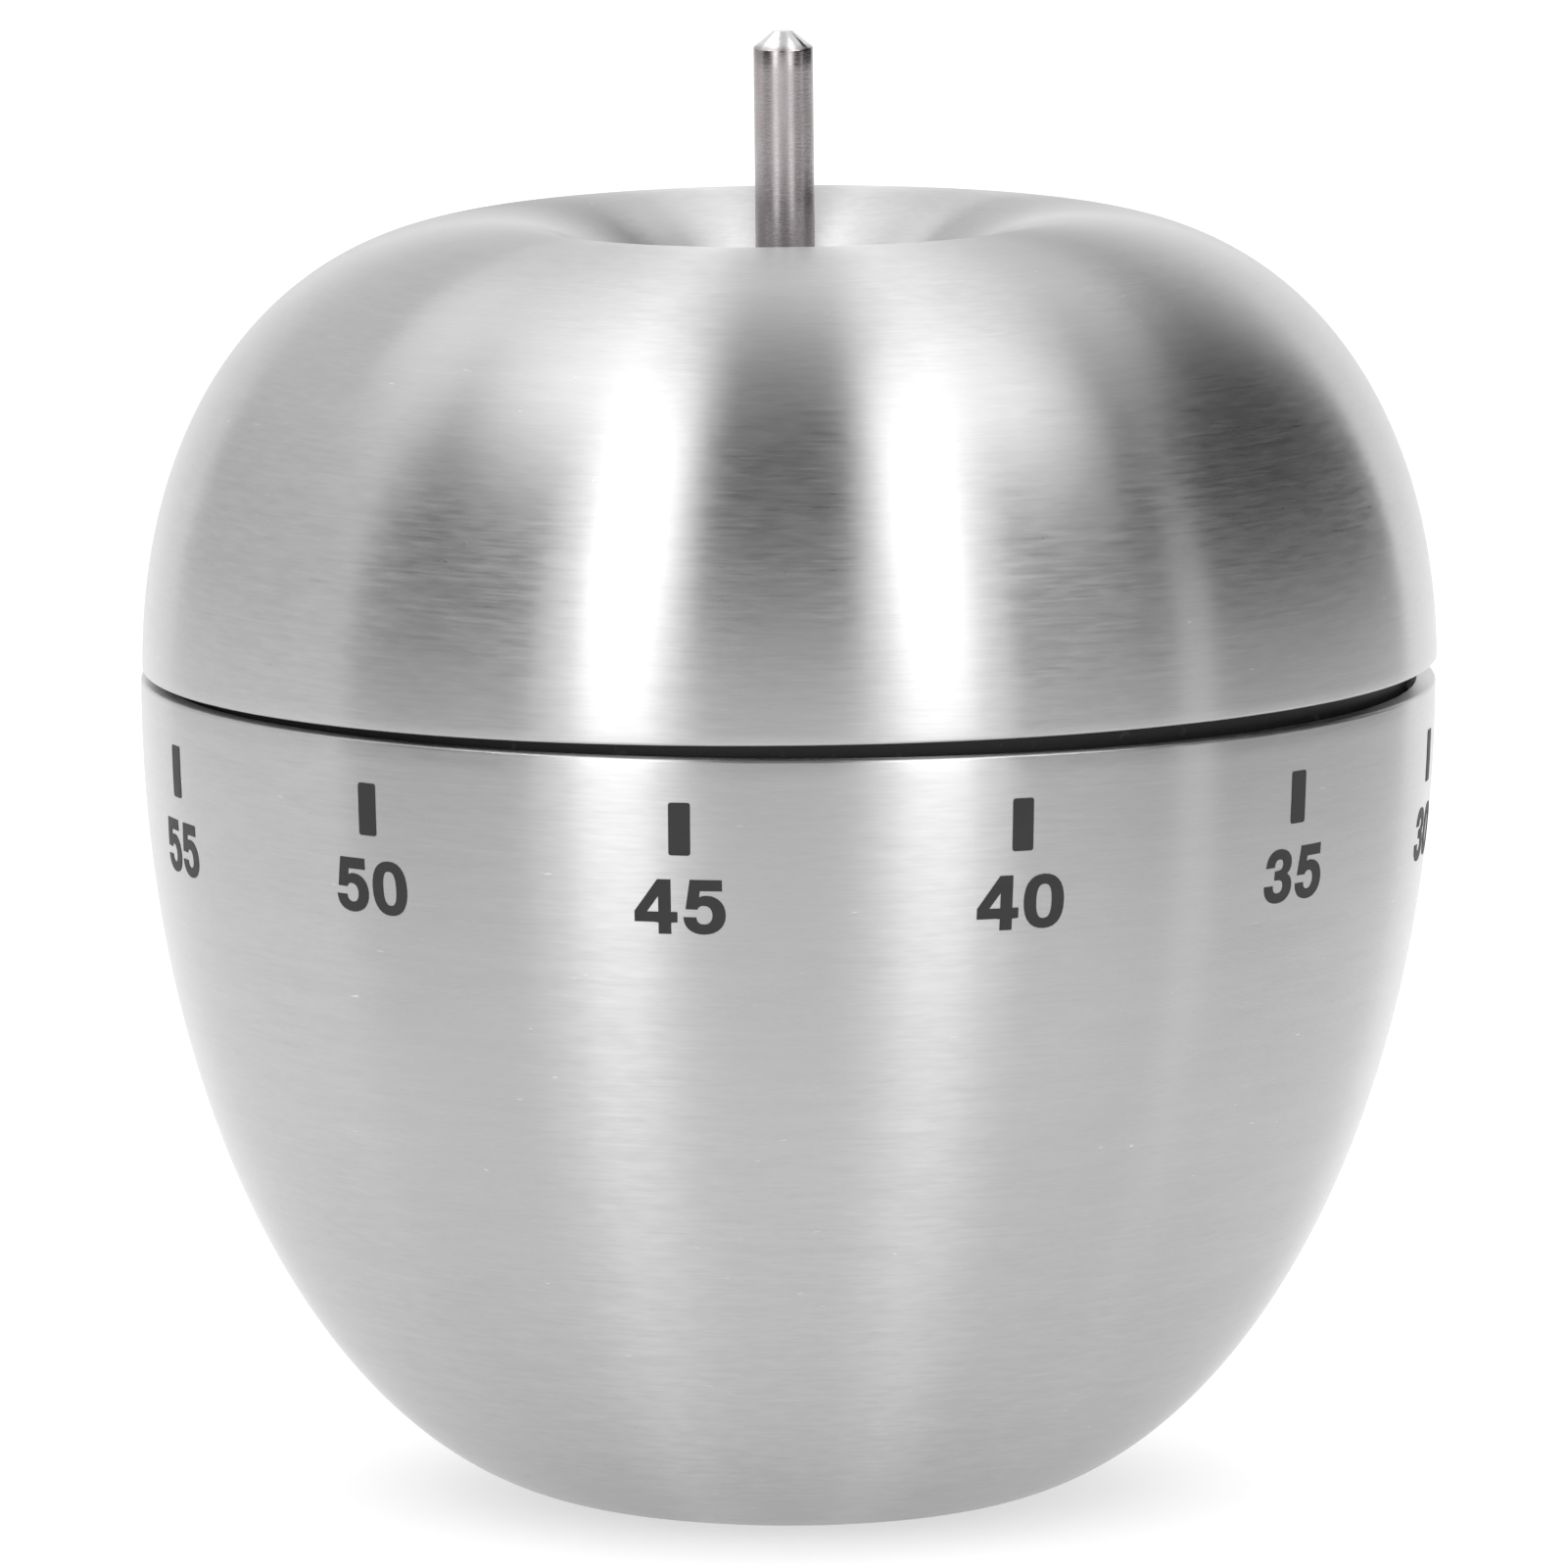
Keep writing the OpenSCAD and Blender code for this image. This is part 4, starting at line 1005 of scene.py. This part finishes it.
# Plain bold figures, 1 high and FIGURE_CELL wide. Each outline is where it starts, then
# its sides: two numbers for a straight one's end, six for a curve's handles and end.
FIGURE_CELL = 0.73
FIGURE_GAP = 0.14
FIGURE_STRETCH = 1.06
FIGURES = {
    "0": (
        (
            (0.365, 1), (0.6, 1, 0.73, 0.83, 0.73, 0.5),
            (0.73, 0.17, 0.6, 0, 0.365, 0), (0.13, 0, 0, 0.17, 0, 0.5),
            (0, 0.83, 0.13, 1, 0.365, 1),
        ),
        (
            (0.365, 0.85), (0.24, 0.85, 0.195, 0.74, 0.195, 0.5),
            (0.195, 0.26, 0.24, 0.15, 0.365, 0.15),
            (0.49, 0.15, 0.535, 0.26, 0.535, 0.5),
            (0.535, 0.74, 0.49, 0.85, 0.365, 0.85),
        ),
    ),
    "1": (
        (
            (0.3, 0), (0.3, 0.7), (0.11, 0.7), (0.11, 0.83),
            (0.25, 0.835, 0.335, 0.9, 0.35, 1), (0.495, 1), (0.495, 0),
            (0.3, 0),
        ),
    ),
    "2": (
        (
            (0.03, 0.65), (0.035, 0.87, 0.16, 1, 0.37, 1),
            (0.57, 1, 0.705, 0.88, 0.705, 0.7),
            (0.705, 0.56, 0.635, 0.48, 0.48, 0.375),
            (0.35, 0.285, 0.29, 0.24, 0.265, 0.17), (0.71, 0.17), (0.71, 0),
            (0.015, 0), (0.02, 0.19, 0.105, 0.3, 0.295, 0.43),
            (0.44, 0.525, 0.51, 0.585, 0.51, 0.69),
            (0.51, 0.79, 0.455, 0.85, 0.37, 0.85),
            (0.275, 0.85, 0.22, 0.78, 0.215, 0.65), (0.03, 0.65),
        ),
    ),
    "3": (
        (
            (0.035, 0.7), (0.05, 0.89, 0.17, 1, 0.36, 1),
            (0.55, 1, 0.68, 0.895, 0.68, 0.745),
            (0.68, 0.64, 0.625, 0.565, 0.54, 0.53),
            (0.645, 0.5, 0.715, 0.415, 0.715, 0.295),
            (0.715, 0.11, 0.575, 0, 0.36, 0),
            (0.155, 0, 0.02, 0.11, 0.015, 0.305), (0.2, 0.305),
            (0.205, 0.205, 0.265, 0.15, 0.36, 0.15),
            (0.46, 0.15, 0.52, 0.205, 0.52, 0.295),
            (0.52, 0.395, 0.455, 0.45, 0.33, 0.45), (0.28, 0.45), (0.28, 0.585),
            (0.33, 0.585), (0.44, 0.585, 0.495, 0.635, 0.495, 0.715),
            (0.495, 0.8, 0.445, 0.85, 0.36, 0.85),
            (0.275, 0.85, 0.222, 0.795, 0.215, 0.7), (0.035, 0.7),
        ),
    ),
    "4": (
        (
            (0.43, 0), (0.615, 0), (0.615, 0.225), (0.73, 0.225), (0.73, 0.38),
            (0.615, 0.38), (0.615, 1), (0.405, 1), (0, 0.4), (0, 0.225),
            (0.43, 0.225), (0.43, 0),
        ),
        (
            (0.43, 0.38), (0.165, 0.38), (0.43, 0.765), (0.43, 0.38),
        ),
    ),
    "5": (
        (
            (0.125, 1), (0.66, 1), (0.66, 0.83), (0.27, 0.83), (0.245, 0.645),
            (0.29, 0.685, 0.345, 0.7, 0.405, 0.7), (0.59, 0.7, 0.72, 0.56, 0.72, 0.355),
            (0.72, 0.14, 0.57, 0, 0.35, 0), (0.15, 0, 0.015, 0.11, 0.01, 0.285),
            (0.2, 0.285), (0.205, 0.2, 0.265, 0.15, 0.35, 0.15),
            (0.455, 0.15, 0.525, 0.225, 0.525, 0.35),
            (0.525, 0.475, 0.46, 0.55, 0.35, 0.55),
            (0.29, 0.55, 0.25, 0.525, 0.225, 0.475), (0.05, 0.48), (0.125, 1),
        ),
    ),
}


def draw_outline(flat, outline, shift):
    """Adds one closed outline to a flat curve."""
    start, sides = outline[0], outline[1:]
    spline = flat.splines.new("BEZIER")
    spline.bezier_points.add(len(sides) - 1)
    spline.use_cyclic_u = True
    move = Vector((shift, 0.0))
    here = start
    for index, point in enumerate(spline.bezier_points):
        ahead, behind = sides[index], sides[index - 1]
        point.co = (*(Vector(here) + move), 0.0)
        point.handle_right_type = "FREE" if len(ahead) == 6 else "VECTOR"
        point.handle_left_type = "FREE" if len(behind) == 6 else "VECTOR"
        if len(ahead) == 6:
            point.handle_right = (*(Vector(ahead[:2]) + move), 0.0)
        if len(behind) == 6:
            point.handle_left = (*(Vector(behind[2:4]) + move), 0.0)
        here = ahead[-2:]


def printed_figure(text, scale, radius):
    """The figures of one minute, as a flat piece in front of a shell."""
    deselect()
    flat = bpy.data.curves.new("figure", "CURVE")
    flat.dimensions = "2D"
    flat.fill_mode = "BOTH"
    flat.resolution_u = FIGURE_CURVE_STEPS
    flat.offset = scale.figure_weight / scale.figure_height
    pitch = FIGURE_CELL + FIGURE_GAP
    wide = pitch * len(text) - FIGURE_GAP
    for place, digit in enumerate(text):
        for outline in FIGURES[digit]:
            draw_outline(flat, outline, place * pitch - wide / 2)
    drawn = bpy.data.objects.new("figure", flat)
    bpy.context.scene.collection.objects.link(drawn)
    only(drawn)
    bpy.ops.object.convert(target="MESH")
    piece = bpy.context.object
    tall = scale.figure_height
    edit(piece)
    bpy.ops.mesh.select_all(action="SELECT")
    bpy.ops.mesh.remove_doubles(threshold=OUTLINE_WELD)
    across = tall * FIGURE_STRETCH
    bpy.ops.transform.resize(value=(across, tall, 1.0), center_override=(0.0, 0.0, 0.0))
    half = wide * across / 2
    columns = max(FIGURE_COLUMNS_LEAST, round(half / FIGURE_COLUMN))
    slice_up((1, 0, 0), -half, half, columns)
    slice_up((0, 1, 0), 0.0, tall, FIGURE_ROWS)
    bpy.ops.mesh.select_all(action="SELECT")
    bpy.ops.mesh.remove_doubles(threshold=PRINT_WELD)
    bpy.ops.object.mode_set(mode="OBJECT")
    piece.rotation_euler = (math.pi / 2, 0.0, 0.0)
    piece.location = (0.0, -radius - PRINT_STANDOFF, scale.figure_top - tall)
    settle(piece)
    return piece


class TIMER_OT_figures(bpy.types.Operator):
    """Prints the minute figures round the bowl, counting up clockwise"""

    bl_idname = "timer.figures"
    bl_label = "Minute figures"

    def execute(self, context):
        body, _, scale, looks = settings()
        shell = bpy.data.objects["bowl_shell"]
        figures = []
        for minute in range(0, MINUTES, MINUTE_STEP):
            figure = printed_figure(str(minute), scale, body.radius)
            bend_onto(figure, shell, scale.ink_proud, scale.ink_thick)
            turn_about_axis(figure, scale.zero_at - 2 * math.pi * minute / MINUTES)
            figures.append(figure)
        piece = joined("minute_figures", figures)
        print_in_ink(piece, "figure_ink", looks)
        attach(piece, "bowl")
        return {"FINISHED"}


class TIMER_OT_lid_mark(bpy.types.Operator):
    """Prints the mark on the lid that is read against the minutes"""

    bl_idname = "timer.lid_mark"
    bl_label = "Lid mark"

    def execute(self, context):
        body, _, scale, looks = settings()
        shell = bpy.data.objects["lid_shell"]
        piece = printed_tick("lid_mark", scale, scale.lid_mark_top, body.radius)
        bend_onto(piece, shell, scale.ink_proud, scale.ink_thick)
        turn_about_axis(piece, scale.zero_at)
        print_in_ink(piece, "lid_ink", looks)
        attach(piece, "lid")
        return {"FINISHED"}


# Nodes that pieces made here stand for.
MADE_HERE = ("lower_shell", "upper_shell", "stem")
# Grained metal: colour, roughness, how the grain is stretched and how worn it is.
GRAINED = {
    "plate_brass": ((0.76, 0.6, 0.29), 0.34),
    "turned_brass": ((0.8, 0.62, 0.3), 0.26, (6, 6, 1)),
    "pinion_steel": ((0.5, 0.5, 0.52), 0.3, (3, 3, 1)),
    "ground_steel": ((0.62, 0.62, 0.64), 0.2, (9, 9, 1), 0.2),
    "screw_steel": ((0.55, 0.55, 0.57), 0.3, (2, 2, 2), 0.4),
    "stamped_steel": ((0.6, 0.6, 0.61), 0.36, (1, 9, 9), 0.4),
}
# Plastic: colour, roughness and the colour of the dust on it.
MOULDED = {
    "black_plastic": ((0.012, 0.012, 0.012), 0.55, (0.1, 0.1, 0.1)),
    "cam_plastic": ((0.72, 0.72, 0.67), 0.42, (0.3, 0.28, 0.25)),
}
# The springs' blue and straw.
BLUED = ((0.12, 0.16, 0.34), (0.42, 0.3, 0.2))
# Turned metal: colour, roughness and how many rings there are to a metre.
TURNED = {
    "gear_brass": ((0.82, 0.65, 0.31), 0.2, 5200.0),
    "bell_metal": ((0.66, 0.64, 0.6), 0.22, 3600.0),
    "bright_steel": ((0.6, 0.6, 0.61), 0.24, 9000.0),
}


class TIMER_OT_clockwork(bpy.types.Operator):
    """Gives every part of the movement the finish of its own metal or plastic"""

    bl_idname = "timer.clockwork"
    bl_label = "Clockwork"

    def execute(self, context):
        shared = {
            slot: grained_metal(slot, *look) for slot, look in GRAINED.items()
        }
        shared |= {
            slot: moulded_plastic(slot, *look) for slot, look in MOULDED.items()
        }
        shared["spring_steel"] = blued_steel("spring_steel", *BLUED)
        for part in frame["record"]["subparts"]:
            node, slot = part["node"], part["material_slot"]
            if slot in TURNED:
                metal, rough, across = TURNED[slot]
                low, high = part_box(node)
                centre = tuple((low + high) / 2)
                redress(
                    node,
                    turned_metal(f"{node}_metal", metal, rough, centre, 0.4, across),
                )
            elif node not in MADE_HERE:
                redress(node, shared[slot])
        return {"FINISHED"}


# ---- the studio


# What stands round the object: its name, its first and last azimuth and elevation in
# degrees, and how bright it is. Azimuth 0 is the front, 90 the +X side. Soft boxes
# light the object; cards only show in its reflections.
LAMPS = (
    ("strip_left", -38, -23, -4, 47, 2.3),
    ("strip_left_edge", -44, -18, -4, 47, 0.25),
    ("strip_right", 19, 33, -4, 47, 2.0),
    ("strip_right_edge", 13, 40, -4, 47, 0.3),
)
SOFT_BOXES = (
    ("box_left", -58, -26, 47, 74, 2.6),
    ("box_far_left", -90, -58, 47, 74, 3.1),
    ("box_back_left", -180, -90, 42, 74, 1.7),
    ("box_right", 22, 56, 47, 74, 2.9),
    ("box_far_right", 56, 84, 47, 74, 4.1),
    ("box_back_right", 140, 180, 42, 74, 1.9),
)
CARDS = (
    ("card_far_left", -140, -84, -4, 18, 0.6),
    ("card_left", -84, -46, -4, 47, 0.01),
    ("card_front", -18, 13, 12, 47, 0.05),
    ("card_front_high", -26, 22, 47, 74, 0.05),
    ("card_right", 40, 72, -4, 47, 0.01),
    ("card_right_gap", 72, 80, 18, 47, 0.05),
    ("card_far_right", 80, 140, -4, 47, 0.01),
    ("card_far_right_high", 84, 140, 47, 74, 0.9),
    ("card_top", -180, 180, 74, 90, 0.75),
)
LAMP_DISTANCE = 1.15
CARD_DISTANCE = 0.95
CARD_STEP = 4.0  # degrees across each facet of a card
FLOOR_SIZE = 6.0
SENSOR_WIDTH = 36.0
NEAREST = 0.01
FARTHEST = 50.0


def seen_at(azimuth, elevation, distance):
    """The place in that direction from the object."""
    across, up = math.radians(azimuth), math.radians(elevation)
    level = math.cos(up)
    return distance * Vector(
        (math.sin(across) * level, -math.cos(across) * level, math.sin(up))
    )


def card(name, start, end, low, high, tone, lights):
    """A curved card round the object, even in tone; one that lights is also a lamp."""
    deselect()
    bpy.ops.mesh.primitive_grid_add(
        size=1.0,
        x_subdivisions=max(1, round((end - start) / CARD_STEP)),
        y_subdivisions=max(1, round((high - low) / CARD_STEP)),
    )
    made = name_piece(bpy.context.object, name)
    for vertex in made.data.vertices:
        vertex.co = seen_at(
            start + (vertex.co.x + 0.5) * (end - start),
            low + (vertex.co.y + 0.5) * (high - low),
            CARD_DISTANCE,
        )
    finish = Finish(name)
    glow = finish.node("ShaderNodeEmission", None, {"Color": WHITE, "Strength": tone})
    dress(made, finish.close(glow))
    made.visible_camera = False
    made.visible_diffuse = lights
    made.visible_shadow = False


def lamp(name, start, end, low, high, brightness):
    """A soft flat lamp that faces the object."""
    azimuth, elevation = (start + end) / 2, (low + high) / 2
    deselect()
    bpy.ops.object.light_add(
        type="AREA",
        location=seen_at(azimuth, elevation, LAMP_DISTANCE),
        rotation=(math.pi / 2 - math.radians(elevation), 0.0, math.radians(azimuth)),
    )
    made = bpy.context.object
    made.name = name
    made.data.shape = "RECTANGLE"
    reach = LAMP_DISTANCE * math.cos(math.radians(elevation))
    made.data.size = 2 * reach * math.tan(math.radians(end - start) / 2)
    made.data.size_y = 2 * LAMP_DISTANCE * math.tan(math.radians(high - low) / 2)
    made.data.energy = brightness * math.pi * made.data.size * made.data.size_y
    made.visible_camera = False


class TIMER_OT_stage(bpy.types.Operator):
    """Sets out the pale floor, the soft lights, the cards and the camera"""

    bl_idname = "timer.stage"
    bl_label = "Stage"

    def execute(self, context):
        studio = context.scene.timer_studio
        scene = context.scene
        scene.view_settings.view_transform = "Standard"
        scene.view_settings.look = "None"
        world = bpy.data.worlds.new("white_surroundings")
        world.use_nodes = True
        world.node_tree.nodes.clear()
        sky = world.node_tree.nodes.new("ShaderNodeBackground")
        sky.inputs["Color"].default_value = WHITE
        sky.inputs["Strength"].default_value = studio.sky
        out = world.node_tree.nodes.new("ShaderNodeOutputWorld")
        world.node_tree.links.new(sky.outputs[0], out.inputs[0])
        scene.world = world

        deselect()
        bpy.ops.mesh.primitive_plane_add(size=FLOOR_SIZE, location=MIDDLE)
        floor = name_piece(bpy.context.object, "floor")
        paper = Finish("floor_paper")
        fibre = paper.noise(paper.place(), 900.0, 4.0, 0.6)
        tone = paper.mix(fibre, shade(studio.floor, 0.99), shade(studio.floor, 1.01))
        matt = paper.node("ShaderNodeBsdfDiffuse", None, {"Color": tone})
        glow = paper.node(
            "ShaderNodeEmission", None, {"Color": WHITE, "Strength": studio.floor_glow}
        )
        both = paper.node("ShaderNodeAddShader", None, {0: matt, 1: glow})
        dress(floor, paper.close(both))

        for *place, brightness in LAMPS:
            lamp(*place, brightness * studio.lamps)
        for *place, brightness in SOFT_BOXES:
            card(*place, brightness * studio.lamps, True)
        for *place, tone in CARDS:
            card(*place, tone, False)

        camera_data = bpy.data.cameras.new("camera")
        camera = bpy.data.objects.new("camera", camera_data)
        scene.collection.objects.link(camera)
        camera_data.lens = studio.lens
        camera_data.sensor_width = SENSOR_WIDTH
        camera_data.clip_start = NEAREST
        camera_data.clip_end = FARTHEST
        aim = Vector((studio.aim_x, 0.0, studio.aim_z))
        back = Vector((0.0, -math.cos(studio.elevation), math.sin(studio.elevation)))
        camera.location = aim + back * studio.distance
        camera.rotation_mode = "QUATERNION"
        camera.rotation_quaternion = (-back).to_track_quat("-Z", "Y")
        scene.camera = camera
        return {"FINISHED"}


# ---- the panel


OPERATORS = (
    TIMER_OT_stage,
    TIMER_OT_clockwork,
    TIMER_OT_bowl,
    TIMER_OT_lid,
    TIMER_OT_stem,
    TIMER_OT_ticks,
    TIMER_OT_figures,
    TIMER_OT_lid_mark,
)
GROUPS = {
    "timer_body": TimerBody,
    "timer_stem": TimerStem,
    "timer_scale": TimerScale,
    "timer_finish": TimerFinish,
    "timer_studio": TimerStudio,
}


class TIMER_PT_panel(bpy.types.Panel):
    """Lists the timer's sizes and the buttons that build it"""

    bl_idname = "TIMER_PT_panel"
    bl_label = "Kitchen timer"
    bl_space_type = "VIEW_3D"
    bl_region_type = "UI"
    bl_category = "Timer"

    def draw(self, context):
        for name in GROUPS:
            box = self.layout.box()
            box.label(text=name.replace("timer_", "").capitalize())
            group = getattr(context.scene, name)
            for field in group.__annotations__:
                box.prop(group, field)
        for operator in OPERATORS:
            self.layout.operator(operator.bl_idname)


def register():
    """Registers the groups, the operators and the panel."""
    for name, group in GROUPS.items():
        bpy.utils.register_class(group)
        setattr(bpy.types.Scene, name, PointerProperty(type=group))
    for operator in OPERATORS:
        bpy.utils.register_class(operator)
    bpy.utils.register_class(TIMER_PT_panel)


def unregister():
    """Takes them away again."""
    bpy.utils.unregister_class(TIMER_PT_panel)
    for operator in reversed(OPERATORS):
        bpy.utils.unregister_class(operator)
    for name, group in reversed(GROUPS.items()):
        delattr(bpy.types.Scene, name)
        bpy.utils.unregister_class(group)


def main():
    """Builds the timer."""
    register()
    for operator in OPERATORS:
        family, name = operator.bl_idname.split(".")
        getattr(getattr(bpy.ops, family), name)()


if __name__ == "__main__":
    main()
